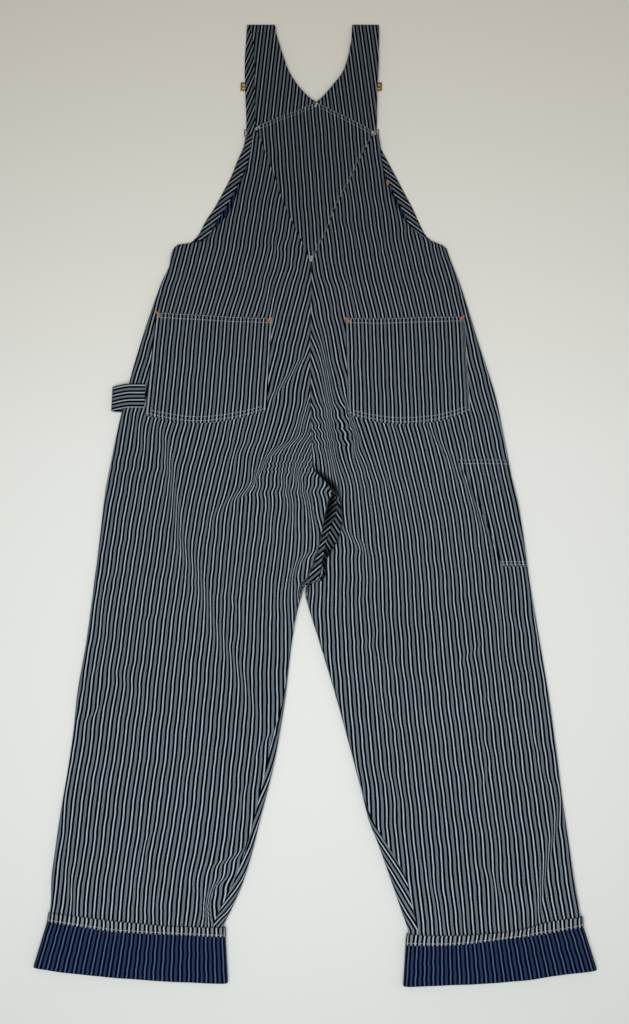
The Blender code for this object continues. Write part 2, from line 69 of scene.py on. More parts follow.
def smooth(knots, values, at):
    """A curve through the values that doesn't overshoot between them."""
    knots, values, at = (np.asarray(v, float) for v in (knots, values, at))
    step = np.diff(knots)
    slope = np.diff(values) / step
    both = slope[:-1] + slope[1:]
    same_way = slope[:-1] * slope[1:] > 0
    middle = 2 * slope[:-1] * slope[1:] / np.where(same_way, both, 1.0)
    lean = np.concatenate([slope[:1], np.where(same_way, middle, 0.0), slope[-1:]])
    i = np.clip(np.searchsorted(knots, at) - 1, 0, len(step) - 1)
    s = np.clip((at - knots[i]) / step[i], 0, 1)
    return (
        values[i] * (1 + 2 * s) * (1 - s) ** 2
        + values[i + 1] * s * s * (3 - 2 * s)
        + lean[i] * step[i] * s * (1 - s) ** 2
        + lean[i + 1] * step[i] * s * s * (s - 1)
    )


def table_of(kind, *table):
    return tuple(kind(*row) for row in table)


def run_of(points):
    """How far along the line each of its points is."""
    steps = np.linalg.norm(np.diff(points, axis=0), axis=1)
    return np.concatenate([[0], np.cumsum(steps)])


def curve_through(points, knots, at):
    """Places on a smooth curve through the points, which lie at the knots."""
    return np.stack([smooth(knots, column, at) for column in np.transpose(points)], axis=1)


def closer_at_ends(count, crowded):
    """From 0 to 1, with steps that are shorter at both ends: crowded is 0 for even steps, up to 1."""
    turned = (1 - np.cos(np.linspace(0, math.pi, count))) / 2
    return turned * crowded + np.linspace(0, 1, count) * (1 - crowded)


def across_stripes(x, y, degrees):
    """Metres across stripes that lean so many degrees clockwise."""
    lean = math.radians(degrees)
    return x * math.cos(lean) - y * math.sin(lean)


def placed(x, y, z):
    return np.stack(np.broadcast_arrays(x, y, z), axis=-1).copy()


def linked(name, data):
    piece = bpy.data.objects.new(name, data)
    bpy.context.scene.collection.objects.link(piece)
    return piece


def columns_of(table, names, knots, at):
    return {n: smooth(knots, [getattr(row, n) for row in table], at) for n in names}


# ---------------------------------------------------------------- creases and relief of the upper cloth
# A crease: points along it, height of its ridge, half its width, how much cloth it swallows, and how
# many times steeper one side is than the other: above zero the +X side, below zero the -X side.
Crease = namedtuple("Crease", "points height width swallows steep", defaults=(0.0,))
CREASES = table_of(
    Crease,
    # below the left seat pocket, from the centre seam towards the thigh
    (((-0.006, 0.03), (-0.022, 0.014), (-0.048, 0), (-0.067, -0.015), (-0.078, -0.036), (-0.09, -0.058),
      (-0.11, -0.072), (-0.126, -0.086)), 0.0042, 0.005, 0.0062, 3),
    (((-0.086, -0.034), (-0.084, -0.046), (-0.08, -0.06)), 0.0012, 0.005, 0.005, 0),
    (((-0.09, -0.045), (-0.112, -0.07), (-0.141, -0.098), (-0.149, -0.132)), 0.0018, 0.0075, 0.0045),
    # the long one down the left leg
    (((-0.232, 0.046), (-0.216, 0.014), (-0.205, -0.028), (-0.197, -0.075), (-0.188, -0.126), (-0.177, -0.16),
      (-0.164, -0.19)), 0.0022, 0.0085, 0.008, 1.5),
    (((-0.184, -0.12), (-0.16, -0.18), (-0.139, -0.245), (-0.112, -0.296), (-0.089, -0.343), (-0.06, -0.4)),
      0.0026, 0.01, 0.005, 1.4),
    # left of the centre seam
    (((-0.009, 0.148), (-0.03, 0.118), (-0.048, 0.095), (-0.07, 0.066)), 0.002, 0.005, 0.0065, 1.6),
    (((-0.009, 0.08), (-0.016, 0.052), (-0.026, 0.02)), 0.0016, 0.006, 0.006),
    # bunched cloth right of the centre seam
    (((0.006, 0.19), (0.013, 0.135), (0.018, 0.072), (0.021, 0.012), (0.028, -0.074)), 0.0036, 0.0085, 0.012,
      0),
    (((0.04, 0.085), (0.052, 0.036), (0.059, 0.012), (0.056, 0), (0.064, -0.022)), 0.0036, 0.0055, 0.011,
      -2.6),
    (((0.034, -0.116), (0.048, -0.13), (0.062, -0.14), (0.075, -0.162)), 0.0026, 0.0055, 0.0065, -1.8),
    # folds in the bulge left of the crotch
    (((-0.027, -0.012), (-0.024, -0.045), (-0.014, -0.072), (-0.007, -0.095), (0, -0.125)), 0.0024, 0.007,
      0.0085, 1.4),
    (((-0.052, -0.02), (-0.04, -0.062), (-0.031, -0.098), (-0.03, -0.13)), 0.0018, 0.007, 0.007),
    (((0.004, -0.15), (-0.014, -0.158), (-0.027, -0.172), (-0.036, -0.205)), 0.0022, 0.0055, 0.007, 1.5),
    (((-0.07, -0.062), (-0.062, -0.1), (-0.06, -0.14)), 0.0011, 0.008, 0.003),
    # from the yoke and beside the seat pockets
    (((-0.074, 0.275), (-0.068, 0.238), (-0.054, 0.178)), 0.0018, 0.0095, 0.0035),
    (((0.046, 0.268), (0.052, 0.238), (0.066, 0.205)), 0.0014, 0.008, 0.003),
    (((-0.257, 0.05), (-0.249, 0.028), (-0.243, 0.004), (-0.24, -0.02)), 0.0014, 0.008, 0.004),
    (((-0.098, 0.03), (-0.104, 0.008), (-0.118, -0.02)), 0.0009, 0.008, 0.002),
    # inner leg, right
    (((0.06, -0.262), (0.085, -0.29), (0.112, -0.318)), 0.0016, 0.0095, 0.0025),
    (((0.072, -0.345), (0.094, -0.372), (0.118, -0.402)), 0.0014, 0.01, 0.0025),
    (((0.082, -0.438), (0.104, -0.466), (0.124, -0.492)), 0.0014, 0.0095, 0.0025),
    # near the hems
    (((-0.078, -0.522), (-0.094, -0.546), (-0.114, -0.556), (-0.14, -0.566)), 0.0022, 0.005, 0.0055, -1.8),
    (((-0.106, -0.574), (-0.128, -0.586), (-0.138, -0.612), (-0.134, -0.64)), 0.0026, 0.0055, 0.009, 2.2),
    (((-0.196, -0.606), (-0.182, -0.607), (-0.166, -0.611)), 0.0012, 0.0035, 0),
    (((-0.326, -0.5), (-0.32, -0.52), (-0.322, -0.545)), 0.0012, 0.006, 0.003),
    (((-0.32, -0.56), (-0.312, -0.59), (-0.304, -0.628)), 0.0016, 0.006, 0.005),
    (((0.322, -0.47), (0.312, -0.508), (0.298, -0.552), (0.288, -0.59), (0.278, -0.645)), 0.0022, 0.006,
      0.0065, 1.6),
    (((0.24, -0.52), (0.232, -0.57), (0.226, -0.632)), 0.0012, 0.009, 0.002),
    (((0.144, -0.56), (0.152, -0.6), (0.164, -0.645)), 0.0014, 0.007, 0.003),
    # beside the rule pocket and down the outside of each leg
    (((0.15, 0.052), (0.166, 0.02), (0.186, -0.01), (0.202, -0.06)), 0.0016, 0.006, 0.004, -1.5),
    (((0.205, -0.03), (0.222, -0.086), (0.236, -0.14)), 0.0014, 0.0055, 0.004),
    # the groove along the rule pocket's slanting edge
    (((0.195, 0), (0.199, -0.0165), (0.2151, -0.052), (0.2275, -0.083), (0.2431, -0.126), (0.249, -0.147),
      (0.2562, -0.17)), -0.0026, 0.003, 0),
    (((0.104, 0.04), (0.112, 0.03), (0.118, 0.014)), 0.0012, 0.004, 0.002),
    (((-0.3, -0.18), (-0.288, -0.24), (-0.284, -0.3)), 0.0012, 0.01, 0.0025),
    (((0.262, -0.2), (0.25, -0.27), (0.246, -0.33)), 0.0012, 0.011, 0.0025),
)


def small_creases(count=110):
    """Short soft crumples all over, in no order."""
    dice = np.random.default_rng(11)
    made = []
    for _ in range(count):
        start = np.array([dice.uniform(-0.31, 0.31), dice.uniform(-0.62, 0.46)])
        turn = math.radians(dice.choice((-1, 1)) * dice.uniform(8, 62))
        way = np.array([math.sin(turn), -math.cos(turn)]) * dice.uniform(0.014, 0.034)
        bend = np.array([way[1], -way[0]]) * dice.uniform(-0.4, 0.4)
        points = tuple(map(tuple, (start, start + way + bend, start + 2 * way)))
        height = dice.uniform(0.0004, 0.0010)
        width, steep = dice.uniform(0.0035, 0.0070), dice.uniform(-1.6, 1.6)
        made.append(Crease(points, height, width, 2.6 * height, steep))
    return made


# Long low swells. turn: the direction across them, in degrees.
Swell = namedtuple("Swell", "turn length height phase")
SWELLS = table_of(
    Swell,
    (8, 0.071, 0.00045, 0.4), (-17, 0.113, 0.0006, 2.1), (64, 0.164, 0.0005, 4), (-52, 0.059, 0.00028, 1.3),
    (31, 0.043, 0.00018, 5.2), (95, 0.087, 0.00032, 3.3),
)
CREASES += tuple(small_creases())
BULGE_Y = (-0.300, -0.210, -0.150, -0.083, -0.017, 0.040)
BULGE_HEIGHT = (0.0, 0.0025, 0.0050, 0.0058, 0.0030, 0.0)


def crease_reach(crease, x, y):
    """Where a crease reaches, the distance from it in its own half widths, positive on its +X side, and
    1 along it, fading to 0 at its ends."""
    points = np.array(crease.points)
    margin = 4 * crease.width
    low, high = points.min(0) - margin, points.max(0) + margin
    near = (x > low[0]) & (x < high[0]) & (y > low[1]) & (y < high[1])
    x, y = x[near], y[near]
    knots = run_of(points)
    fine = np.linspace(0, knots[-1], 4 * len(points))
    line = curve_through(points, knots, fine)
    away = np.full(x.shape, np.inf)
    side = np.ones(x.shape)
    along = np.zeros(x.shape)
    for start, end, low, high in zip(line, line[1:], fine, fine[1:]):
        run = end - start
        share = np.clip(((x - start[0]) * run[0] + (y - start[1]) * run[1]) / (run @ run), 0, 1)
        dx, dy = x - start[0] - run[0] * share, y - start[1] - run[1] * share
        far = np.hypot(dx, dy)
        nearer = far < away
        right = np.where((dx * run[1] - dy * run[0]) * run[1] < 0, -1.0, 1.0)
        away = np.where(nearer, far, away)
        side = np.where(nearer, right, side)
        along = np.where(nearer, (low + (high - low) * share) / knots[-1], along)
    fade = soft_step(along / 0.25) * soft_step((1 - along) / 0.25)
    steeper = max(1.0, abs(crease.steep))
    on_steep = side * crease.steep > 0
    share = side * away / crease.width * np.where(on_steep, steeper, 1.0)
    return near, share, fade


def relief(x, y):
    """Height that swells and creases add to the upper cloth."""
    total = np.zeros(x.shape)
    for swell in SWELLS:
        turn = math.radians(swell.turn)
        across = x * math.cos(turn) + y * math.sin(turn)
        total += swell.height * np.sin(2 * math.pi * across / swell.length + swell.phase)
    for crease in CREASES:
        near, share, fade = crease_reach(crease, x, y)
        if near.any():
            trough = np.sign(crease.steep) if crease.steep else 1.0
            ridge = np.exp(-(share**2)) - 0.55 * np.exp(-((share - 1.5 * trough) ** 2) / 0.8)
            total[near] += crease.height * fade * ridge
    return total


def unsteady(x, y):
    """How far, across the stripes, slack in the cloth carries them out of line."""
    total = np.zeros(np.shape(x))
    for turn, length, reach, phase in (
        (80, 0.033, 0.00010, 0.3), (103, 0.021, 0.00008, 1.9), (62, 0.047, 0.00014, 4.1),
        (118, 0.013, 0.00004, 2.6), (48, 0.027, 0.00007, 5.0), (93, 0.071, 0.00025, 3.2),
    ):
        turn = math.radians(turn)
        wave = (x * math.cos(turn) + y * math.sin(turn)) * 2 * math.pi / length
        total = total + reach * np.sin(wave + phase + 1.3 * np.sin(x * 37 + phase))
    return total


def upper_height(x, y):
    """Height of the upper cloth away from its edges."""
    x, y = np.asarray(x, float), np.asarray(y, float)
    chest = soft_step((y - 0.300) / 0.080)
    near_centre = soft_step(1 - np.abs(x - CENTRE_X) / BULGE_REACH)
    bulge = smooth(BULGE_Y, BULGE_HEIGHT, y) * near_centre
    return LEG_TOP + (CHEST_TOP - LEG_TOP) * chest + bulge + relief(x, y) * (1 - 0.5 * chest)


# ---------------------------------------------------------------- materials
class Recipe:
    """A material's node tree, built up node by node."""

    def __init__(self, name):
        self.material = bpy.data.materials.new(name)
        self.material.use_nodes = True
        self.tree = self.material.node_tree
        self.shader = self.tree.nodes["Principled BSDF"]
        self.place = self.node("TexCoord").outputs["Object"]

    def node(self, kind, settings=None, **inputs):
        made = self.tree.nodes.new("ShaderNode" + kind)
        for key, value in (settings or {}).items():
            setattr(made, key, value)
        for key, value in inputs.items():
            self.put(made.inputs[int(key[1:]) if key[0] == "_" else key], value)
        return made

    def put(self, socket, value):
        if isinstance(value, bpy.types.NodeSocket):
            self.tree.links.new(value, socket)
        else:
            socket.default_value = value

    def surface(self, settings):
        for name, value in settings.items():
            self.put(self.shader.inputs[name], value)

    def maths(self, operation, first, second=0.0, third=0.0):
        made = self.node("Math", {"operation": operation}, _0=first, _1=second, _2=third)
        return made.outputs[0]

    def times(self, first, second, add=0.0):
        return self.maths("MULTIPLY_ADD" if add else "MULTIPLY", first, second, add)

    def triple(self, kind, x=0.0, y=0.0, z=0.0):
        return self.node(kind, _0=x, _1=y, _2=z).outputs[0]

    def bump(self, strength, distance, height):
        return self.node("Bump", Strength=strength, Distance=distance, Height=height).outputs[0]

    def ramp(self, value, stops):
        made = self.node("ValToRGB", _0=value)
        bands = made.color_ramp.elements
        bands[0].position, bands[0].color = stops[0][0], (*stops[0][1], 1)
        bands[1].position, bands[1].color = stops[-1][0], (*stops[-1][1], 1)
        for place, colour in stops[1:-1]:
            bands.new(place).color = (*colour, 1)
        return made.outputs[0]

    def mix(self, share, first, second, blend="MIX"):
        made = self.node("Mix", {"data_type": "RGBA", "blend_type": blend}, _0=share, _6=first, _7=second)
        return made.outputs[2]

    def noise(self, place, scale, detail=2.0, roughness=0.5):
        made = self.node("TexNoise", Vector=place, Scale=scale, Detail=detail, Roughness=roughness)
        return made.outputs["Fac"]


def bands(colours):
    """Stops of one repeat of the stripe: fine light line, dark, broad mid band, dark."""
    light, dark, broad = colours
    soft = 0.020
    edges = (0.165, 0.450, 0.728)
    stops = [(0.0, dark), (soft, light), (edges[0] - soft, light), (edges[0] + soft, dark)]
    stops += [(edges[1] - soft, dark), (edges[1] + soft, broad)]
    stops += [(edges[2] - soft, broad), (edges[2] + soft, dark), (1.0, dark)]
    return stops


def striped(name, colours, slub, twill_depth, sheen, wash):
    """Drill with stripes woven along it. The piece's own flat cut gives metres across and along."""
    r = Recipe(name)
    flat = r.node("SeparateXYZ", _0=r.node("UVMap", {"uv_map": "cut"}).outputs[0])
    across, along = flat.outputs[0], flat.outputs[1]
    yarns = r.triple("CombineXYZ", r.times(across, 1400.0), r.times(along, 95.0))
    slubs = r.noise(yarns, 1.0)
    wander = r.times(r.maths("SUBTRACT", slubs, 0.5), 0.04)
    drift = r.triple("CombineXYZ", r.times(across, 150.0), r.times(along, 45.0))
    uneven = r.times(r.maths("SUBTRACT", r.noise(drift, 1.0, 3.0), 0.5), 0.055)
    repeat = r.maths("ADD", r.maths("ADD", r.maths("DIVIDE", across, STRIPE), wander), uneven)
    stripe = r.ramp(r.maths("FRACT", repeat), bands(colours))
    # twill lines climb to the right
    diagonal = r.maths("ADD", r.times(across, 0.906), r.times(along, -0.423))
    twill = r.times(r.maths("SINE", r.times(diagonal, 2 * math.pi / TWILL)), 0.5, 0.5)
    lined = r.mix(r.times(twill, twill_depth), stripe, (0.35, 0.37, 0.42, 1), "MULTIPLY")
    speckle = r.times(slubs, slub, 1.0 - slub * 0.5)
    faded = r.times(r.noise(r.place, 7.0, 3.0), wash, 1.0 - wash * 0.5)
    # painted shade: darker towards the top, as the light falls off there, and near black on the cloth tucked
    # away at the crotch
    height = r.node("SeparateXYZ", _0=r.place).outputs[1]
    smoothly = {"interpolation_type": "SMOOTHSTEP"}
    top_shade = r.node("MapRange", smoothly, _0=height, _1=0.02, _2=0.48, _3=1.0, _4=0.74)
    # the "tucked" point attribute holds the painted shade of the crotch folds
    tucked = r.node("Attribute", {"attribute_name": "tucked"}).outputs["Fac"]
    painted_shade = r.times(top_shade.outputs[0], r.times(tucked, -0.96, 1.0))
    level = r.times(r.times(speckle, faded), painted_shade)
    fibres = r.noise(r.place, 2600.0, 1.0)
    weave = r.maths("ADD", r.times(twill, 0.7), r.times(fibres, 0.5))
    r.surface({
        "Base Color": r.mix(1.0, lined, r.triple("CombineColor", level, level, level), "MULTIPLY"),
        "Roughness": r.times(slubs, 0.10, 0.88), "Normal": r.bump(0.35, 0.00025, weave),
        "Sheen Weight": sheen, "Sheen Roughness": 0.6, "Specular IOR Level": 0.01,
    })
    return r.material


def sewing_thread(name, colour):
    r = Recipe(name)
    tone = r.noise(r.place, 900.0)
    dull = tuple(c * 0.62 for c in colour)
    r.surface({
        "Base Color": r.mix(tone, (*dull, 1), (*colour, 1)), "Roughness": r.times(tone, 0.2, 0.5),
        "Normal": r.bump(0.3, 0.0001, r.noise(r.place, 4000.0, 1.0)), "Sheen Weight": 0.2,
    })
    return r.material


def old_brass():
    r = Recipe("Brass")
    patches = r.noise(r.place, 160.0, 4.0, 0.6)
    r.surface({
        "Base Color": r.ramp(patches, ((0.30, (0.30, 0.19, 0.055)), (0.62, (0.72, 0.50, 0.17)))),
        "Roughness": r.times(patches, -0.25, 0.50), "Metallic": 1.0,
        "Normal": r.bump(0.15, 0.0002, r.noise(r.place, 900.0, 3.0)),
    })
    return r.material


FACE = striped(
    "Striped drill",
    ((0.388, 0.442, 0.502), (0.0003, 0.0005, 0.0024), (0.148, 0.176, 0.214)),
    0.45, 0.36, 0.005, 0.16,
)
HEM = striped(
    "Striped drill, rolled hem",
    ((0.42, 0.46, 0.50), (0.0005, 0.0009, 0.0040), (0.205, 0.232, 0.260)),
    0.45, 0.30, 0.005, 0.16,
)
REVERSE = striped(
    "Striped drill, reverse",
    ((0.070, 0.108, 0.185), (0.0003, 0.0013, 0.0105), (0.0200, 0.0390, 0.0880)),
    0.55, 0.34, 0.005, 0.20,
)
WHITE_THREAD = sewing_thread("White thread", (0.66, 0.68, 0.68))
ORANGE_THREAD = sewing_thread("Orange thread", (0.72, 0.19, 0.055))
BRASS = old_brass()


# ---------------------------------------------------------------- cloth
def cloth(name, places, flat, plies, up, wall=CLOTH, wall_side=-1.0):
    """A ply of cloth through a grid of places. flat gives each place's spot in the flat cut, in metres;
    with one more column than places, the grid closes on itself. up is +1 where the outer side looks up."""
    rows, cols = places.shape[:2]
    closed = flat.shape[1] > cols
    r, c = np.meshgrid(np.arange(rows - 1), np.arange(cols if closed else cols - 1), indexing="ij")
    after = (c + 1) % cols
    corners = np.stack([r * cols + c, r * cols + after, (r + 1) * cols + after, (r + 1) * cols + c], -1)
    spots = np.stack([flat[r, c], flat[r, c + 1], flat[r + 1, c + 1], flat[r + 1, c]], 2)
    corners, spots = corners.reshape(-1, 4), spots.reshape(-1, 4, 2)
    points = places.reshape(-1, 3)
    p = points[corners]
    facing = np.cross(p[:, 2] - p[:, 0], p[:, 3] - p[:, 1])[:, 2]
    if closed:
        facing = facing * np.sign(p[:, :, 2].mean(1) - (points[:, 2].min() + points[:, 2].max()) / 2)
    if facing.sum() * up < 0:
        corners, spots = corners[:, ::-1], spots[:, ::-1]
    mesh = bpy.data.meshes.new(name)
    mesh.from_pydata(points.tolist(), [], corners.tolist())
    layer = mesh.uv_layers.new(name="cut")
    layer.data.foreach_set("uv", spots.reshape(-1).astype(np.float32))
    mesh.polygons.foreach_set("use_smooth", np.ones(len(corners), bool))
    piece = linked(name, mesh)
    for material in plies:
        mesh.materials.append(material)
    ply = piece.modifiers.new("Ply", "SOLIDIFY")
    ply.thickness = wall
    ply.offset = wall_side
    ply.material_offset = len(plies) - 1
    return piece


def run_from(places, anchor):
    """How far along its row each place is from the anchor column."""
    run = np.stack([run_of(row) for row in places])
    return run - run[:, anchor : anchor + 1]


def unrolled(places, anchor):
    """Each place's spot on the floor if every row were rolled out flat from its anchor column."""
    run = run_from(places, anchor)
    across = places[:, -1, :2] - places[:, 0, :2]
    across /= np.linalg.norm(across, axis=1, keepdims=True)
    return places[:, anchor : anchor + 1, :2] + run[..., None] * across[:, None, :]


def spread_out(right, up):
    total = np.zeros((right.shape[0], right.shape[1] + 1))
    total[:, 1:] += right
    total[:, :-1] -= right
    total[1:] += up
    total[:-1] -= up
    return total


def woven(places, floor_plan, lean, loose):
    """Metres across the stripes for each place, so that the stripes lean as told and stay evenly apart,
    but for what the creases swallow. loose is 0 to 1 where the cloth may slip out of line."""
    def between(a, axis):
        return (a[:, 1:] + a[:, :-1]) / 2 if axis else (a[1:] + a[:-1]) / 2

    wants, weights = [], []
    off_x = (places[..., 0] - GATHER.x) / GATHER.half_width
    off_y = (places[..., 1] - GATHER.y) / GATHER.half_length
    fuller = 1 + GATHER.more * soft_step(1 - np.hypot(off_x, off_y))
    normal = np.stack([np.cos(lean), -np.sin(lean)], axis=-1)
    swallowed = []
    for crease in CREASES:
        near, share, fade = crease_reach(crease, places[..., 0], places[..., 1])
        if crease.swallows and near.any():
            shift, taper = np.zeros(near.shape), np.zeros(near.shape)
            shift[near] = 0.5 * crease.swallows * np.tanh(1.5 * share)
            taper[near] = fade
            swallowed.append((near, shift, taper))
    for axis in (1, 0):
        step = np.diff(floor_plan, axis=axis)
        want = (between(normal, axis) * step).sum(-1) * between(fuller, axis)
        for near, shift, taper in swallowed:
            both = near[:, 1:] & near[:, :-1] if axis else near[1:] & near[:-1]
            want = want + np.where(both, between(taper, axis) * np.diff(shift, axis=axis), 0.0)
        wants.append(want)
    wide = np.linalg.norm(np.diff(floor_plan, axis=1), axis=2) + 1e-5
    tall = np.linalg.norm(np.diff(floor_plan, axis=0), axis=2) + 1e-5
    tall_at = np.concatenate([tall[:1], tall], axis=0)
    wide_at = np.concatenate([wide[:, :1], wide], axis=1)
    weights.append(np.clip(between(tall_at, 1) / wide, 0.3, 12) * (1 - 0.9995 * between(loose, 1)))
    weights.append(np.clip(between(wide_at, 0) / tall, 0.08, 3) * (1 - 0.99 * between(loose, 0)))
    middle = places.shape[1] // 2
    found = np.concatenate([np.zeros((len(places), 1)), np.cumsum(wants[0], axis=1)], axis=1)
    found -= found[:, middle : middle + 1]
    found += np.concatenate([[0], np.cumsum(wants[1][:, middle])])[:, None]

    def pull(values):
        return spread_out(weights[0] * np.diff(values, axis=1), weights[1] * np.diff(values, axis=0))

    rest = spread_out(weights[0] * wants[0], weights[1] * wants[1]) - pull(found)
    way, size = rest.copy(), (rest * rest).sum()
    for _ in range(WEAVE_STEPS):
        drag = pull(way)
        stride = size / max((way * drag).sum(), 1e-30)
        found += stride * way
        rest -= stride * drag
        new_size = (rest * rest).sum()
        way = rest + way * (new_size / size)
        size = new_size
    return found + unsteady(places[..., 0], places[..., 1])


WEAVE_STEPS = 900
# Where the seat is drawn up along the centre seam, and how much more cloth lies there.
Gather = namedtuple("Gather", "x y half_width half_length more")
GATHER = Gather(-0.005, 0.004, 0.050, 0.085, 0.55)


# ---------------------------------------------------------------- the back and the front panels
# One section per row. edge: height at the outer edge. roll: how far in from it the cloth turns over.
# At the inner edge, lip: how far in it turns down; depth: by how much; tuck: 0 where it rolls over, 1
# where it is folded under its neighbour; turn: how far in from the fold the inseam lies on top.
EDGE_HEIGHT, EDGE_ROLL = 0.0070, 0.0070
Row = namedtuple("Row", "outer_x outer_y inner_x inner_y edge roll lip depth tuck turn")


def leg_row(outer_x, outer_y, inner_x, inner_y, turn=0.0008, depth=0.0052, tuck=0.0):
    return Row(outer_x, outer_y, inner_x, inner_y, EDGE_HEIGHT, EDGE_ROLL, 0.0070, depth, tuck, turn)


def sewn_row(outer_x, y, inner_x, lip=0.0025, depth=0.0010, tuck=0.0):
    return Row(outer_x, y, inner_x, y, EDGE_HEIGHT, EDGE_ROLL, lip, depth, tuck, 0.0)


def chest_row(outer_x, outer_y, inner_x, inner_y, edge):
    return Row(outer_x, outer_y, inner_x, inner_y, edge, 0.0200, 0.0060, 0.0016, 0.0, 0.0)


BACK = {
    "left": table_of(
        leg_row,
        (-0.349, -0.674, -0.115, -0.693, 0.01), (-0.3392, -0.62, -0.1178, -0.639, 0.012),
        (-0.3386, -0.606, -0.1092, -0.62, 0.014), (-0.3395, -0.58, -0.093, -0.583, 0.012),
        (-0.337, -0.545, -0.0815, -0.545, 0.009), (-0.3335, -0.506, -0.072, -0.506, 0.008),
        (-0.325, -0.43, -0.0535, -0.43, 0.009), (-0.3215, -0.39, -0.0465, -0.39, 0.007),
        (-0.3198, -0.352, -0.0405, -0.352, 0.003), (-0.3105, -0.272, -0.0315, -0.272),
        (-0.3065, -0.225, -0.023, -0.225), (-0.305, -0.206, -0.0172, -0.206, 0.0008, 0.008, 0.4),
    ) + table_of(
        sewn_row,
        (-0.3045, -0.196, -0.015, 0.006, 0.01, 1), (-0.304, -0.189, 0.003, 0.017, 0.0104, 1),
        (-0.3036, -0.183, 0.0078, 0.0185, 0.0106, 1), (-0.3018, -0.165, 0.0088, 0.011, 0.0112, 1),
        (-0.3008, -0.15, 0.0112, 0.0085, 0.0116, 1), (-0.2995, -0.13, 0.0162, 0.009, 0.012, 1),
        (-0.2984, -0.112, 0.0215, 0.011, 0.0125, 1), (-0.2975, -0.095, 0.0285, 0.015, 0.0128, 1),
        (-0.2966, -0.08, 0.03, 0.013, 0.0125, 1), (-0.2955, -0.068, 0.0285, 0.0055, 0.0105, 1),
        (-0.2948, -0.06, 0.0235, 0.0035, 0.0055, 0.5), (-0.2936, -0.05, 0.0148, 0.0035, 0.0032),
        (-0.2922, -0.04, 0.0045, 0.0035, 0.0024), (-0.2908, -0.03, -0.003, 0.003, 0.0018),
        (-0.2886, -0.015, -0.0044, 0.0025, 0.0012), (-0.2822, 0.0275, -0.0058), (-0.2735, 0.0727, -0.0068),
        (-0.2646, 0.1186, -0.007), (-0.2535, 0.1651, -0.0072), (-0.2407, 0.2124, -0.0072),
        (-0.2263, 0.2604, -0.0066), (-0.2165, 0.286, -0.006),
    ) + table_of(
        chest_row,
        (-0.2155, 0.297, -0.0065, 0.297, 0.0072), (-0.214, 0.306, -0.0095, 0.306, 0.0072),
        (-0.205, 0.3195, -0.013, 0.315, 0.0072), (-0.1718, 0.3225, -0.016, 0.3225, 0.0072),
        (-0.1543, 0.342, -0.0245, 0.342, 0.0072), (-0.1316, 0.37, -0.0365, 0.37, 0.0072),
        (-0.1209, 0.395, -0.046, 0.395, 0.0072), (-0.1129, 0.422, -0.0545, 0.422, 0.0075),
        (-0.1015, 0.455, -0.0655, 0.455, 0.0092), (-0.0955, 0.499, -0.081, 0.499, 0.01),
        (-0.0945, 0.512, -0.0865, 0.5055, 0.01),
    ),
    "right": table_of(
        leg_row,
        (0.349, -0.676, 0.115, -0.699, 0.011), (0.339, -0.625, 0.119, -0.645, 0.012),
        (0.3372, -0.61, 0.112, -0.623, 0.014), (0.3335, -0.58, 0.0972, -0.58, 0.02),
        (0.329, -0.535, 0.0812, -0.535, 0.011), (0.3262, -0.506, 0.0698, -0.506, 0.005),
        (0.323, -0.47, 0.0608, -0.47), (0.3201, -0.43, 0.0503, -0.43), (0.3137, -0.352, 0.0291, -0.352),
        (0.3045, -0.272, 0.0051, -0.272), (0.299, -0.225, -0.0095, -0.225),
        (0.2968, -0.206, -0.014, -0.206, 0.0008, 0.007, 0.4),
    ) + table_of(
        sewn_row,
        (0.2958, -0.196, -0.0128, 0.005, 0.009, 1), (0.2952, -0.19, 0.005, 0.005, 0.0106, 1),
        (0.2945, -0.183, 0.0084, 0.006, 0.0112, 1), (0.2931, -0.165, 0.0094, 0.0055, 0.0114, 1),
        (0.2919, -0.15, 0.0118, 0.011, 0.0098, 1), (0.2902, -0.13, 0.0168, 0.017, 0.0098, 1),
        (0.2882, -0.112, 0.0221, 0.016, 0.01, 1), (0.2865, -0.095, 0.0291, 0.0085, 0.0104, 1),
        (0.2847, -0.08, 0.0306, 0.0055, 0.0102, 1), (0.2825, -0.068, 0.0291, 0.0065, 0.01, 0.8),
        (0.281, -0.06, 0.0241, 0.01, 0.01, 0.5), (0.2791, -0.05, 0.0154, 0.013, 0.01, 0.3),
        (0.277, -0.04, 0.0051, 0.013, 0.0085, 0.2), (0.2755, -0.03, -0.0024, 0.009, 0.0045),
        (0.2735, -0.015, -0.0038, 0.0025, 0.0012), (0.2674, 0.0275, -0.0052), (0.2607, 0.0727, -0.0062),
        (0.2496, 0.1186, -0.0064), (0.237, 0.1651, -0.0066), (0.2255, 0.2124, -0.0066),
        (0.2125, 0.2604, -0.006), (0.204, 0.286, -0.0054),
    ) + table_of(
        chest_row,
        (0.2005, 0.297, -0.0062, 0.297, 0.0072), (0.198, 0.306, -0.0025, 0.306, 0.0072),
        (0.1955, 0.314, 0.0015, 0.315, 0.0072), (0.164, 0.3304, 0.0048, 0.3225, 0.0072),
        (0.1452, 0.347, 0.0138, 0.342, 0.0072), (0.13, 0.368, 0.0226, 0.37, 0.0072),
        (0.12, 0.393, 0.0338, 0.395, 0.0072), (0.11, 0.418, 0.047, 0.422, 0.0075),
        (0.1025, 0.455, 0.0605, 0.455, 0.0092), (0.098, 0.499, 0.0825, 0.499, 0.01),
        (0.0955, 0.506, 0.0865, 0.5055, 0.01),
    ),
}
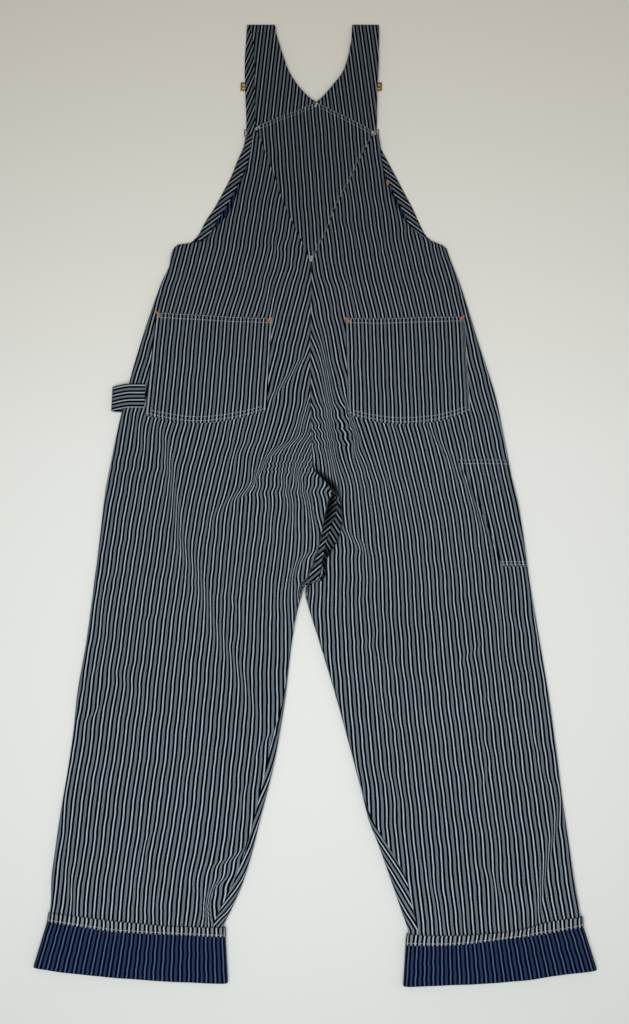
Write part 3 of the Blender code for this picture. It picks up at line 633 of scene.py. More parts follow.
# How the stripes lean from straight up, in degrees clockwise, at five stations from the outer edge in.
Grain = namedtuple("Grain", "y outer second middle fourth inner")
GRAIN = {
    "left": table_of(
        Grain,
        (-0.7, 6, 4, 2, 3, 8), (-0.6, 2, 4, 0, 3, 30), (-0.55, 4, 6, 7, 10, 16), (-0.5, 1, 3, 6, 5, 9),
        (-0.45, 7, 6, 6, 4, 10), (-0.4, 4, 5, 3, 5, 8), (-0.35, 5, 5, 3, 3, 2), (-0.3, 6, 4, 4, 4, 0),
        (-0.25, 4, 3, 5, 3, 1), (-0.2, 5, 6, 2, 0, -2), (-0.16, 5, 4, 1, 6, 2), (-0.12, 4, 4, 3, 6, 2),
        (-0.08, 5, 6, 9, 2, -6), (-0.04, 4, 9, 13, 6, 34), (0, 5, 6, 11, 10, 36), (0.04, 9, 14, 9, 9, 27),
        (0.08, 11, 12, 9, 12, 20), (0.12, 12, 12, 10, 15, 20), (0.16, 11, 12, 10, 13, 20),
        (0.2, 11, 12, 12, 15, 18), (0.24, 12, 14, 15, 14, 18), (0.28, 13, 13, 12, 12, 14),
        (0.32, 12, 11, 10, 7, 6), (0.36, 11, 8, 6, 7, 7), (0.4, 11, 11, 10, 10, 9), (0.46, 9, 8, 7, 7, 6),
        (0.52, 6, 6, 5, 5, 4),
    ),
    "right": table_of(
        Grain,
        (-0.7, -6, -5, -4, -3, -5), (-0.6, -2, -6, -4, -4, -16), (-0.55, -3, -4, -3, -3, -9),
        (-0.5, -4, -6, -6, -3, -5), (-0.45, -5, -5, -6, -5, -8), (-0.4, -5, -5, -6, -5, -7),
        (-0.35, -5, -5, -5, -4, -6), (-0.3, -6, -5, -4, -4, -6), (-0.25, -4, -4, -3, -2, -3),
        (-0.2, -4, -4, -2, -1, 4), (-0.16, -3, -4, -5, -4, -2), (-0.12, -6, -6, -5, -6, -8),
        (-0.08, -5, -7, -10, -9, -7), (-0.04, -8, -8, -8, -6, -34), (0, -8, -9, -9, -9, -38),
        (0.04, -10, -10, -9, -14, -28), (0.08, -11, -10, -8, -12, -24), (0.12, -10, -9, -8, -12, -22),
        (0.16, -9, -8, -7, -12, -21), (0.2, -9, -9, -9, -13, -18), (0.24, -9, -10, -11, -12, -16),
        (0.28, -12, -10, -10, -10, -12), (0.32, -10, -9, -8, -7, -6), (0.36, -8, -6, -5, -5, -5),
        (0.4, -8, -6, -5, -5, -5), (0.46, -6, -5, -5, -5, -5), (0.52, -4, -4, -3, -3, -3),
    ),
}
TUCK_LEAN = {"left": 50, "right": -30}    # of the cloth drawn in below the crotch's folds
STATIONS = (0.05, 0.28, 0.52, 0.78, 0.98)
ROLL_STEPS, INNER_STEPS, WRAP_STEPS = 7, 10, 8
TUCK_ACROSS = (0, 0.02, 0.05, 0.08, 0.11, 0.16, 0.30, 0.50, 0.75, 1.0)
TUCK_DOWN = {
    "left": (0, 0.12, 0.38, 0.66, 0.88, 1.0, 1.0, 0.95, 0.88, 0.80),
    "right": (0, 0.14, 0.36, 0.54, 0.68, 0.78, 0.87, 0.93, 0.97, 1.0),
}
# Painted shade on the folded-away cloth in the crotch: how dark it is painted, by level down the crotch and
# from the fold in.
HOLLOW_SHADE = {
    "left": ((-0.210, 0.0), (-0.196, 0.3), (-0.150, 0.25), (-0.118, 0.60), (-0.100, 0.95), (-0.075, 1.0),
             (-0.058, 0.8), (-0.046, 0.0)),
    "right": ((-0.205, 0.0), (-0.192, 0.9), (-0.150, 0.95), (-0.136, 0.50), (-0.100, 0.40), (-0.075, 0.6),
              (-0.055, 1.0), (-0.040, 1.0), (-0.028, 0.6), (-0.015, 0.0)),
}
HOLLOW_SHADE_ACROSS = {
    "left": (0, 0.1, 0.3, 0.6, 0.9, 1.0, 1.0, 0.95, 0.8, 0.6),
    "right": (0, 0.3, 0.55, 0.75, 0.87, 0.95, 1.0, 1.0, 1.0, 1.0),
}
TUCK_FLOOR = 0.0042       # the lowest that tucked cloth lies, on the front's


def along_rows(table, step, names):
    """The table's columns again, a row every step."""
    middle = np.array([((r.outer_x + r.inner_x) / 2, (r.outer_y + r.inner_y) / 2) for r in table])
    knots = middle[:, 1]
    count = int((knots[-1] - knots[0]) / step) + 1
    return columns_of(table, names, knots, np.linspace(knots[0], knots[-1], count))


def ends_of(rows):
    """Each row's outer and inner end on the floor, and how far apart they are."""
    outer = np.stack([rows["outer_x"], rows["outer_y"]], 1)[:, None]
    inner = np.stack([rows["inner_x"], rows["inner_y"]], 1)[:, None]
    return outer, inner, np.linalg.norm(inner - outer, axis=2)


def back_section(rows, width, flats, tuck_down):
    """Distances in from the outer edge and drops from the flat, per row and column, with the lift, from
    0 to 1, of the outer roll."""
    roll = np.minimum(rows["roll"][:, None], 0.4 * width)
    lip = np.minimum(rows["lip"][:, None], 0.4 * width)
    turn, tuck, depth = (rows[n][:, None] for n in ("turn", "tuck", "depth"))
    angle = np.linspace(0, math.pi / 2, ROLL_STEPS)[None, :]
    rolled = roll * (1 - np.cos(angle))
    start = np.maximum(lip, turn + 0.003)
    share = (np.arange(1, flats) / flats)[None, :]
    flat = roll + (width - start - roll) * share
    part = np.linspace(0, 1, INNER_STEPS)[None, :]
    from_edge = start + (turn - start) * np.sin(part * math.pi / 2)
    bent = np.clip((lip - from_edge) / lip, 0, 1)
    drop = depth * (1 - np.sqrt(1 - bent**2))
    across, down = np.array(TUCK_ACROSS)[None, :], np.array(tuck_down)[None, :]
    from_edge = from_edge * (1 - tuck) + lip * (1 - across) * tuck
    drop = drop * (1 - tuck) + depth * down * tuck
    distance = np.concatenate([rolled[:, :1], rolled, flat, width - from_edge], axis=1)
    drops = np.concatenate([np.zeros((len(width), ROLL_STEPS + flats)), drop], axis=1)
    lift = np.concatenate([np.sin(angle[:, :1]), np.sin(angle)], axis=1).repeat(len(width), 0)
    lift = np.concatenate([lift, np.ones((len(width), flats - 1 + INNER_STEPS))], axis=1)
    return distance, drops, lift


def lay_back(side, step=0.0040, flats=62):
    rows = along_rows(BACK[side], step, Row._fields)
    outer, inner, width = ends_of(rows)
    distance, drops, lift = back_section(rows, width, flats, TUCK_DOWN[side])
    share = distance / width
    x, y = np.moveaxis(outer + (inner - outer) * share[..., None], -1, 0)
    edge = rows["edge"][:, None]
    z = edge + (upper_height(x, y) - drops - edge) * lift
    z[:, -INNER_STEPS:] = np.maximum(z[:, -INNER_STEPS:], TUCK_FLOOR)
    z[:, 0] -= EDGE_DROP
    places = placed(x, y, z)
    plan = unrolled(places, ROLL_STEPS + flats // 2)
    grain = GRAIN[side]
    knots = [g.y for g in grain]
    at_station = curve_through([g[1:] for g in grain], knots, y.mean(1))
    lean = np.stack([np.interp(s, STATIONS, row) for s, row in zip(share, at_station)])
    hidden = np.zeros(lean.shape)
    hidden[:, -INNER_STEPS:] = np.array(TUCK_ACROSS) > 0.1
    tucked = rows["tuck"][:, None] * hidden
    lean = lean * (1 - tucked) + TUCK_LEAN[side] * tucked
    loose = np.zeros(lean.shape)
    loose[:, -INNER_STEPS : -INNER_STEPS + 5] = rows["tuck"][:, None]
    across = woven(places, plan, np.radians(lean), loose)
    drawn_in = soft_step((rows["tuck"] - 0.5) / 0.4)[:, None] * hidden
    across = across * (1 - drawn_in) + across_stripes(x, y, TUCK_LEAN[side]) * drawn_in
    flat = np.stack([across, plan[..., 1]], axis=-1)
    piece = cloth("cloth_back_" + side, places, flat, (FACE, REVERSE), 1)
    # painted shade for the crotch folds, passed to the material in the "tucked" point attribute
    hollow_shade = np.zeros(x.shape)
    levels, shares = zip(*HOLLOW_SHADE[side])
    hollow_shade[:, -INNER_STEPS:] = smooth(levels, shares, y[:, -INNER_STEPS:]) * np.array(HOLLOW_SHADE_ACROSS[side])
    hollow_shade_layer = piece.data.attributes.new("tucked", "FLOAT", "POINT")
    hollow_shade_layer.data.foreach_set("value", hollow_shade.reshape(-1).astype(np.float32))
    return piece


def lay_front(side, step=0.0080, flats=30):
    """The front leg: flat on the floor, up round the fold, and on top as far as the inseam."""
    rows = along_rows([r for r in BACK[side] if r.outer_y < 0.295], step, Row._fields)
    outer, inner, width = ends_of(rows)
    sewn = rows["turn"][:, None] < 0.0005
    floor = (CUFF_FLOOR * soft_step((-0.600 - rows["outer_y"]) / 0.025))[:, None]
    roll, lip = 0.007, 0.008
    middle = 0.0055
    angle = np.linspace(0, math.pi / 2, ROLL_STEPS)[None, :]
    start = roll * (1 - np.cos(angle)).repeat(len(width), 0)
    low = middle + (floor - middle) * np.sin(angle)
    share = (np.arange(1, flats) / flats)[None, :]
    flat = roll + (width - lip - roll) * share
    back = (math.pi / 2) * (1 - np.linspace(0, 1, ROLL_STEPS)[None, :])
    end = width - lip * (1 - np.cos(back))
    rise = middle + (floor - middle) * np.sin(back)
    turn = np.maximum(rows["turn"], 0.0008)[:, None]
    part = np.linspace(0, 1, WRAP_STEPS + 1)[None, 1:]
    wrapped = turn * (1 - np.cos(part * math.pi / 2))
    distance = np.concatenate([start, flat, end, width - wrapped], axis=1)
    place = outer + (inner - outer) * (distance / width)[..., None]
    x, y = place[..., 0], place[..., 1]
    top = upper_height(x[:, -WRAP_STEPS:], y[:, -WRAP_STEPS:])
    bent = np.clip((roll - wrapped) / roll, 0, 1)
    over = top - rows["depth"][:, None] * (1 - np.sqrt(1 - bent**2))
    over = np.where(sewn, middle + 0.0004 * part, over)
    z = np.concatenate([low, floor.repeat(flats - 1, 1), rise, over], axis=1)
    places = placed(x, y, z)
    anchor = ROLL_STEPS + flats // 2
    sign = 1 if side == "left" else -1
    across = x[:, anchor : anchor + 1] + sign * run_from(places, anchor)
    cut = np.stack([across_stripes(across, y, 5 * sign), y], axis=-1)
    return cloth("cloth_front_" + side, places, cut, (FACE, REVERSE), -1)


# ---------------------------------------------------------------- turn-ups
# The turn-up of each leg, from its outer side in: its bottom edge, then the stitched band's lower and
# upper edges.
TURN_UP = {
    "left": (
        ((-0.3538, -0.6834), (-0.3046, -0.6897), (-0.2304, -0.6961), (-0.1705, -0.6996), (-0.1119, -0.7017)),
        ((-0.3396, -0.6293), (-0.2981, -0.6352), (-0.2497, -0.6415), (-0.1749, -0.6450), (-0.1159, -0.6476)),
        ((-0.3384, -0.6191), (-0.2988, -0.6239), (-0.2503, -0.6293), (-0.1752, -0.6354), (-0.1164, -0.6370)),
    ),
    "right": (
        ((0.3533, -0.6865), (0.3037, -0.6921), (0.2665, -0.6973), (0.2109, -0.7016), (0.1124, -0.7055)),
        ((0.3392, -0.6355), (0.3047, -0.6415), (0.2394, -0.6503), (0.1557, -0.6579), (0.1164, -0.6574)),
        ((0.3391, -0.6242), (0.3054, -0.6285), (0.2397, -0.6425), (0.1561, -0.6465), (0.1183, -0.6446)),
    ),
}
BAND_START = 0.83         # share of the way up the turn-up at which the band begins
TURN_UP_DEPTH, TURN_UP_TOP = 0.064, 0.0135
LEG_END_WIDTH = 0.24


def leg_ring(side, share, grow, count=52):
    """A closed section round the leg end, share of the way from hem to top of the turn-up."""
    width, roll, middle = LEG_END_WIDTH, 0.0072 + grow, 0.0075
    angle = np.linspace(0, math.pi / 2, 6)
    start = roll * (1 - np.cos(angle)) - grow
    flat = np.linspace(start[-1], width - start[-1], count)[1:-1]
    distance = np.concatenate([start, flat, width - start[::-1]])
    lift = np.concatenate([np.sin(angle), np.ones(len(flat)), np.sin(angle[::-1])])
    levels = []
    for level in TURN_UP[side]:
        points = np.array(level)
        knots = run_of(points)
        at = distance / width * knots[-1]
        line = curve_through(points, knots, at)
        ends = (points[-1] - points[0]) / knots[-1]
        beyond = np.minimum(at, 0) + np.maximum(at - knots[-1], 0)
        levels.append(line + beyond[:, None] * ends)
    hem, low, high = levels
    upper = (share - BAND_START) / (1 - BAND_START)
    place = hem + (low - hem) * share / BAND_START if share < BAND_START else low + (high - low) * upper
    ripple = 0.0006 * np.sin(place[:, 0] * 96 + 1.0) + 0.0004 * np.sin(place[:, 0] * 171)
    top, bottom = TURN_UP_TOP + grow + ripple, max(CUFF_FLOOR - grow, 0.0)
    up = np.column_stack([place, middle + (top - middle) * lift])
    down = np.column_stack([place, middle + (bottom - middle) * lift])
    return np.concatenate([up, down[::-1][1:-1]])


def ring_cut(places, height):
    """The flat cut of a ring: across is the way round it at half its height."""
    middle = places[len(places) // 2]
    run = run_of(np.concatenate([middle, middle[:1]]))
    around, up = np.broadcast_arrays(run[None, :], np.asarray(height)[:, None])
    return np.stack([around + unsteady(around, up * 3), up], axis=-1)


def lay_turn_up(side):
    stations = (0.06, 0.02, -0.01, -0.02, -0.012, 0.01, 0.06, 0.14, 0.24, 0.36, 0.48, 0.6, 0.72, 0.8, 0.832)
    grows = (-0.0012, -0.0008, -0.0002, 0.0008, 0.0017, 0.0020) + (0.0020,) * 9
    places = np.stack([leg_ring(side, s, g) for s, g in zip(stations, grows)])
    cut = ring_cut(places, run_of(places[:, 20]))
    piece = cloth("cloth_turn_up_" + side, places, cut, (REVERSE, FACE), 1)
    stations = (0.822, 0.835, 0.890, 0.945, 0.990, 1.0)
    grows = (0.0021, 0.0025, 0.0026, 0.0026, 0.0025, 0.0021)
    places = np.stack([leg_ring(side, s, g) for s, g in zip(stations, grows)])
    cut = ring_cut(places, np.array(stations) * TURN_UP_DEPTH)
    band = cloth("cloth_hem_band_" + side, places, cut, (HEM, REVERSE), 1)
    return piece, band


# ---------------------------------------------------------------- yoke, straps, bib
Span = namedtuple("Span", "left_x left_y right_x right_y")
YOKE = table_of(
    Span,
    (-0.0074, 0.2885, -0.004, 0.2885), (-0.0135, 0.306, 0.0015, 0.306), (-0.02, 0.3225, 0.0088, 0.3225),
    (-0.0285, 0.342, 0.0178, 0.342), (-0.0405, 0.37, 0.0266, 0.37), (-0.05, 0.395, 0.0378, 0.395),
    (-0.0585, 0.422, 0.051, 0.422), (-0.0695, 0.455, 0.0645, 0.455), (-0.085, 0.499, 0.0865, 0.499),
    (-0.0909, 0.5165, 0.0918, 0.508), (-0.06, 0.5318, 0.06, 0.5273), (-0.03, 0.5455, 0.031, 0.5434),
    (-0.002, 0.5582, 0.005, 0.5577),
)


def spans_along(table, step, count):
    """A grid between two edges, with rows a step apart and closer columns at the edges."""
    middle = np.array([((s.left_x + s.right_x) / 2, (s.left_y + s.right_y) / 2) for s in table])
    knots = run_of(middle)
    fine = np.linspace(0, knots[-1], int(knots[-1] / step) + 2)
    left_x, left_y, right_x, right_y = (np.interp(fine, knots, n)[:, None] for n in zip(*table))
    share = closer_at_ends(count, 0.35)
    return left_x + (right_x - left_x) * share, left_y + (right_y - left_y) * share


def leaning_cut(x, y, degrees):
    return np.stack([across_stripes(x, y, degrees) + 0.7 * unsteady(x, y + 0.3), y], axis=-1)


def yoke_height(x, y):
    return upper_height(x, y) + YOKE_LIFT


def lay_yoke():
    x, y = spans_along(YOKE, 0.0045, 40)
    places = placed(x, y, yoke_height(x, y))
    return cloth("cloth_yoke", places, leaning_cut(x, y, -4.0), (FACE, REVERSE), 1)


StrapRow = namedtuple("StrapRow", "outer_x outer_y inner_x inner_y height")
STRAP_BACK = {
    "left": table_of(
        StrapRow,
        (-0.0905, 0.511, 0.0008, 0.553, 0.009), (-0.0912, 0.518, 0.0008, 0.56, 0.00985),
        (-0.0925, 0.54, -0.006, 0.566, 0.0097), (-0.093, 0.565, -0.0126, 0.5729, 0.00925),
        (-0.0935, 0.5907, -0.0266, 0.5907, 0.0087), (-0.094, 0.617, -0.041, 0.617, 0.008),
        (-0.0955, 0.6445, -0.05, 0.6445, 0.0072), (-0.097, 0.6718, -0.0574, 0.6718, 0.0064),
        (-0.0995, 0.6865, -0.0612, 0.6865, 0.006),
    ),
    "right": table_of(
        StrapRow,
        (0.0918, 0.5028, 0.0022, 0.553, 0.009), (0.0925, 0.5098, 0.0022, 0.56, 0.00985),
        (0.095, 0.5377, 0.0075, 0.5655, 0.0097), (0.0958, 0.564, 0.0122, 0.5711, 0.00925),
        (0.097, 0.5907, 0.0268, 0.5907, 0.0087), (0.0988, 0.617, 0.0437, 0.617, 0.008),
        (0.0998, 0.6445, 0.0518, 0.6445, 0.0072), (0.1006, 0.6718, 0.0566, 0.6718, 0.0064),
        (0.1011, 0.6865, 0.0592, 0.6865, 0.006),
    ),
}
FrontRow = namedtuple("FrontRow", "y height left_outer right_outer")
STRAP_FRONT = table_of(
    FrontRow,
    (0.6985, 0.0055, -0.1045, 0.1012), (0.703, 0.0047, -0.1065, 0.101), (0.7043, 0.0033, -0.108, 0.1008),
    (0.7025, 0.0018, -0.1084, 0.1006), (0.697, 0.0009, -0.1086, 0.1002), (0.6718, 0.00085, -0.1095, 0.0992),
    (0.6445, 0.00085, -0.1106, 0.0985), (0.615, 0.001, -0.1105, 0.098), (0.603, 0.0029, -0.1095, 0.0975),
    (0.5855, 0.0029, -0.109, 0.097), (0.564, 0.0026, -0.108, 0.0962), (0.5377, 0.0026, -0.1066, 0.0957),
    (0.527, 0.0038, -0.1063, 0.0954), (0.518, 0.0051, -0.1061, 0.0952), (0.5105, 0.0046, -0.1061, 0.0952),
    (0.508, 0.0029, -0.1061, 0.0952), (0.5105, 0.0012, -0.1061, 0.0952), (0.517, 0.0008, -0.1061, 0.0952),
    (0.582, 0.0008, -0.108, 0.0965),
)


FOLD_START, FOLD_END = 8, 13    # rows at which a strap folds over


def lay_strap(side):
    """One length: from under the yoke up the back, over the fold and down the front to the hook."""
    sign = 1 if side == "left" else -1
    ends = [((r.outer_x, r.outer_y, r.height), (r.inner_x, r.inner_y, r.height)) for r in STRAP_BACK[side]]
    for r in STRAP_FRONT:
        outer = r.left_outer if side == "left" else r.right_outer
        ends.append(((outer, r.y, r.height), (outer + sign * STRAP_WIDTH, r.y, r.height)))
    ends = np.array(ends)
    knots = run_of(ends.mean(1))
    fine = np.unique(np.round(np.concatenate([
        np.linspace(0, knots[FOLD_START], 46), np.linspace(knots[FOLD_START], knots[FOLD_END], 24),
        np.linspace(knots[FOLD_END], knots[-1], 70)]), 6))
    outer, inner = (curve_through(ends[:, e], knots, fine)[:, None] for e in (0, 1))
    share = closer_at_ends(22, 0.3)
    places = outer + (inner - outer) * share[None, :, None]
    places[..., 2] += 0.0007 * np.sin(math.pi * share)[None, :] * (fine < knots[FOLD_START])[:, None]
    along = places[..., 1].copy()
    fold = knots[FOLD_START + 1]
    after = fine > fold
    top = np.interp(fold, fine, places[..., 1].mean(1))
    along[after] = (top + (fine - fold))[after, None]
    lean, lean_front = (5.0, -20.0) if side == "left" else (-6.0, 5.0)
    drift = soft_step((fine - knots[FOLD_START + 2]) / (knots[FOLD_END - 1] - knots[FOLD_START + 2]))
    turn = np.radians(lean + (lean_front - lean) * drift)
    mean_along = along.mean(1)
    slide = np.concatenate([[0], np.cumsum(np.diff(mean_along) * np.tan(turn[1:]))])
    local = (along - mean_along[:, None]) * np.tan(turn)[:, None]
    across = (places[..., 0] - slide[:, None] - local) * math.cos(math.radians(lean))
    cut = np.stack([across, along], axis=-1)
    return cloth("cloth_strap_" + side, places, cut, (FACE,), 1, DOUBLE_CLOTH, 0.0)


Bib = namedtuple("Bib", "y left_x right_x floor")
BIB = table_of(
    Bib,
    (0.29, -0.205, 0.192, 0.0018), (0.306, -0.205, 0.192, 0.0018), (0.318, -0.195, 0.186, 0.0018),
    (0.3337, -0.1766, 0.1671, 0.0018), (0.3585, -0.1652, 0.1557, 0.0018), (0.3835, -0.1508, 0.1458, 0.0018),
    (0.4087, -0.1393, 0.1343, 0.0018), (0.4341, -0.1277, 0.1227, 0.0018), (0.4597, -0.119, 0.1109, 0.003),
    (0.4855, -0.1088, 0.0992, 0.0048), (0.505, -0.1061, 0.0965, 0.0048),
)


BIB_POCKET = (Span(-0.105, 0.312, 0.105, 0.312), Span(-0.112, 0.4205, 0.112, 0.4205))


def lay_bib():
    fine = np.linspace(BIB[0].y, BIB[-1].y, 40)
    knots = [b.y for b in BIB]
    left, right, floor = curve_through([b[1:] for b in BIB], knots, fine).T
    share = np.linspace(0, 1, 50)
    x = left[:, None] + (right - left)[:, None] * share
    y = np.broadcast_to(fine[:, None], x.shape)
    z = floor[:, None] + 0.0004 * (1 + np.sin(x * 52 + 0.6) * np.sin(y * 47))
    places = placed(x, y, z)
    bib = cloth("cloth_bib", places, leaning_cut(x, y, 2.0), (FACE, REVERSE), -1)
    x, y = spans_along(BIB_POCKET, 0.006, 30)
    places = placed(x, y, 0.0001)
    pocket = cloth("cloth_bib_pocket", places, leaning_cut(x, y, 1.0), (FACE,), -1)
    facings = []
    upper = fine > 0.325
    share = np.linspace(0, 1, 7)
    rim = np.array([0.0, 1, 1, 1, 1, 1, 0.4])
    for side, sign, ends in (("left", 1, left), ("right", -1, right)):
        x = ends[upper][:, None] + sign * (FACING_WIDTH * share[None, :] - 0.0004)
        y = np.broadcast_to(fine[upper][:, None], x.shape)
        z = floor[upper][:, None] + 0.0016 + 0.0008 * rim[None, :] + 0.0003 * np.sin(y * 120)
        places = placed(x, y, z)
        cut = np.stack([across_stripes(x, y, 50 * sign), y], axis=-1)
        facings.append(cloth("cloth_bib_facing_" + side, places, cut, (FACE,), 1, FACING_CLOTH, 0.0))
    return bib, pocket, facings


# ---------------------------------------------------------------- pockets and loop
Patch = namedtuple(
    "Patch", "top_outer_x top_outer_y top_inner_x top_inner_y low_outer_x low_outer_y"
    " low_inner_x low_inner_y dip lean"
)
BACK_POCKET = {
    "left": Patch(-0.2325, 0.2076, -0.0632, 0.1981, -0.2438, 0.0502, -0.0690, 0.0580, 0.0168, 3.6),
    "right": Patch(0.2178, 0.2013, 0.0436, 0.1981, 0.2214, 0.0560, 0.0483, 0.0505, 0.0180, -1.2),
}


def patch_place(patch, share, down):
    """A place on the pocket: share from the outer side in, down from the top."""
    share, down = np.asarray(share, float), np.asarray(down, float)
    x = (patch.top_outer_x + (patch.top_inner_x - patch.top_outer_x) * share) * (1 - down)
    x += (patch.low_outer_x + (patch.low_inner_x - patch.low_outer_x) * share) * down
    y = (patch.top_outer_y + (patch.top_inner_y - patch.top_outer_y) * share) * (1 - down)
    low = patch.low_outer_y + (patch.low_inner_y - patch.low_outer_y) * share
    y += (low - patch.dip * np.sin(math.pi * share) ** 0.8) * down
    return x, y


def pocket_height(x, y):
    return upper_height(x, y) + POCKET_LIFT


def lay_patch_pocket(side):
    patch = BACK_POCKET[side]
    share = closer_at_ends(44, 0.25)
    down = share[:, None]
    x, y = patch_place(patch, share[None, :], down)
    away = np.minimum(np.minimum(share, 1 - share)[None, :], np.minimum(down, 1 - down)) * 0.165
    z = upper_height(x, y) + 0.0002 + 0.0010 * soft_step(away / 0.0016) + 0.0004 * soft_step(away / 0.03)
    places = np.stack([x, y, z + 0.0002], axis=-1)
    cut = leaning_cut(x, y, patch.lean)
    return cloth("cloth_back_pocket_" + side, places, cut, (FACE,), 1, POCKET_CLOTH)


RuleRow = namedtuple("RuleRow", "y inner_x")
RULE_POCKET = table_of(
    RuleRow,
    (-0.17, 0.2572), (-0.147, 0.25), (-0.126, 0.2441), (-0.083, 0.2285), (-0.052, 0.2161), (-0.0165, 0.2),
)


def rule_place(y, share):
    """A place on the rule pocket: share from the slanting edge out to the side seam."""
    y, share = np.broadcast_arrays(np.asarray(y, float), np.asarray(share, float))
    slant = smooth(*zip(*RULE_POCKET), y)
    seam = smooth(*zip(*((r.outer_y, r.outer_x) for r in BACK["right"][2:33])), y)
    reach = seam - 0.0012 - slant
    x = slant + reach * share
    roll = 0.0070
    lift = np.sqrt(np.clip(1 - np.clip((x - (seam - roll)) / roll, 0, 1) ** 2, 0, 1))
    z = 0.0070 + (upper_height(x, y) - 0.0070) * lift + POCKET_LIFT * (0.3 + 0.7 * lift)
    return x, y, z


def lay_rule_pocket():
    y = np.linspace(RULE_POCKET[0].y, RULE_POCKET[-1].y, 40)[:, None]
    share = np.sin(np.linspace(0, math.pi / 2, 22))[None, :]
    x, y, z = rule_place(y, share)
    z[:, 0] -= EDGE_DROP
    z[[0, -1]] -= 0.0006
    places = placed(x, y, z)
    return cloth("cloth_rule_pocket", places, leaning_cut(x, y, -9.5), (FACE,), 1, POCKET_CLOTH)


LOOP_Y, LOOP_WIDTH = 0.0605, 0.0360
LoopRow = namedtuple("LoopRow", "x height")
HAMMER_LOOP = table_of(
    LoopRow,
    (-0.244, 0.01345), (-0.264, 0.01345), (-0.274, 0.0132), (-0.283, 0.0121), (-0.2895, 0.0098),
    (-0.2918, 0.0065), (-0.2895, 0.0032), (-0.284, 0.0014), (-0.2785, 0.0014), (-0.2757, 0.0033),
)


def lay_hammer_loop():
    knots = run_of(HAMMER_LOOP)
    fine = np.linspace(0, knots[-1], 44)
    x, z = curve_through(HAMMER_LOOP, knots, fine).T
    y = LOOP_Y + LOOP_WIDTH * closer_at_ends(14, 1)
    drift = -0.0035 * soft_step((fine - 0.02) / 0.03)
    places = placed(x[:, None], y + drift[:, None], z[:, None])
    cut = np.stack(np.broadcast_arrays(y[None, :] - 0.0042, fine[:, None]), axis=-1)
    return cloth("cloth_hammer_loop", places, cut, (FACE,), 1, DOUBLE_CLOTH, 0.0)


# ---------------------------------------------------------------- stitches
def stitch_tree():
    """Stitches laid along curves: one small rounded bead of thread at every pitch."""
    tree = bpy.data.node_groups.new("Stitches", "GeometryNodeTree")
    face = tree.interface
    face.new_socket("Seams", in_out="INPUT", socket_type="NodeSocketGeometry")
    for name in ("Pitch", "Length", "Width"):
        face.new_socket(name, in_out="INPUT", socket_type="NodeSocketFloat")
    face.new_socket("Thread", in_out="INPUT", socket_type="NodeSocketMaterial")
    face.new_socket("Stitching", in_out="OUTPUT", socket_type="NodeSocketGeometry")
    new, link = tree.nodes.new, tree.links.new
    given, made = new("NodeGroupInput"), new("NodeGroupOutput")
    even, bead = new("GeometryNodeResampleCurve"), new("GeometryNodeMeshUVSphere")
    turn, size = new("FunctionNodeAlignRotationToVector"), new("ShaderNodeCombineXYZ")
    lay, real = new("GeometryNodeInstanceOnPoints"), new("GeometryNodeRealizeInstances")
    colour = new("GeometryNodeSetMaterial")
    even.mode, turn.axis = "LENGTH", "X"
    for name, value in (("Segments", 6), ("Rings", 4), ("Radius", 0.5)):
        bead.inputs[name].default_value = value
    for start, end, socket in (
        (given.outputs["Seams"], even, "Curve"), (given.outputs["Pitch"], even, "Length"),
        (new("GeometryNodeInputTangent").outputs[0], turn, "Vector"),
        (given.outputs["Length"], size, "X"), (given.outputs["Width"], size, "Y"),
        (given.outputs["Width"], size, "Z"), (even.outputs[0], lay, "Points"),
        (bead.outputs[0], lay, "Instance"), (turn.outputs[0], lay, "Rotation"),
        (size.outputs[0], lay, "Scale"), (lay.outputs[0], real, 0), (real.outputs[0], colour, "Geometry"),
        (given.outputs["Thread"], colour, "Material"), (colour.outputs[0], made, 0),
    ):
        link(start, end.inputs[socket])
    return tree


STITCHES = stitch_tree()
SOCKETS = {item.name: item.identifier for item in STITCHES.interface.items_tree}


def sew(name, seams, thread=WHITE_THREAD, pitch=0.0033, length=0.0026, width=0.0008):
    """Stitches of one thread along several seams, as one plain mesh."""
    curve = bpy.data.curves.new(name, "CURVE")
    curve.dimensions = "3D"
    for seam in seams:
        spline = curve.splines.new("POLY")
        spline.points.add(len(seam) - 1)
        for point, place in zip(spline.points, seam):
            point.co = (*place, 1)
    drawn = linked(name, curve)
    row = drawn.modifiers.new("Stitches", "NODES")
    row.node_group = STITCHES
    for socket, value in (("Pitch", pitch), ("Length", length), ("Width", width), ("Thread", thread)):
        row[SOCKETS[socket]] = value
    shown = drawn.evaluated_get(bpy.context.evaluated_depsgraph_get())
    mesh = bpy.data.meshes.new_from_object(shown)
    bpy.data.objects.remove(drawn)
    bpy.data.curves.remove(curve)
    mesh.polygons.foreach_set("use_smooth", np.ones(len(mesh.polygons), bool))
    return linked(name, mesh)


def on(height, x, y, raise_by=0.0003):
    x, y = np.broadcast_arrays(np.asarray(x, float), np.asarray(y, float))
    return np.stack([x, y, height(x, y) + raise_by], axis=-1)


def inset_line(points, inset):
    """A line moved to its left by the inset."""
    points = np.asarray(points, float)
    way = np.gradient(points, axis=0)
    way /= np.linalg.norm(way, axis=1, keepdims=True)
    return points + inset * np.stack([-way[:, 1], way[:, 0]], axis=1)


def fine_line(points, count=60):
    knots = run_of(points)
    return curve_through(points, knots, np.linspace(0, knots[-1], count))


def zigzag(x, y, length, across, degrees, height, turns=13):
    """A bar tack: thread back and forth across a short line."""
    way = np.array([math.cos(math.radians(degrees)), math.sin(math.radians(degrees))])
    side = np.array([-way[1], way[0]])
    at = np.linspace(-0.5, 0.5, turns)
    swing = np.where(np.arange(turns) % 2, 0.5, -0.5)
    spot = np.array([x, y]) + length * at[:, None] * way + across * swing[:, None] * side
    return on(height, spot[:, 0], spot[:, 1], 0.0006)


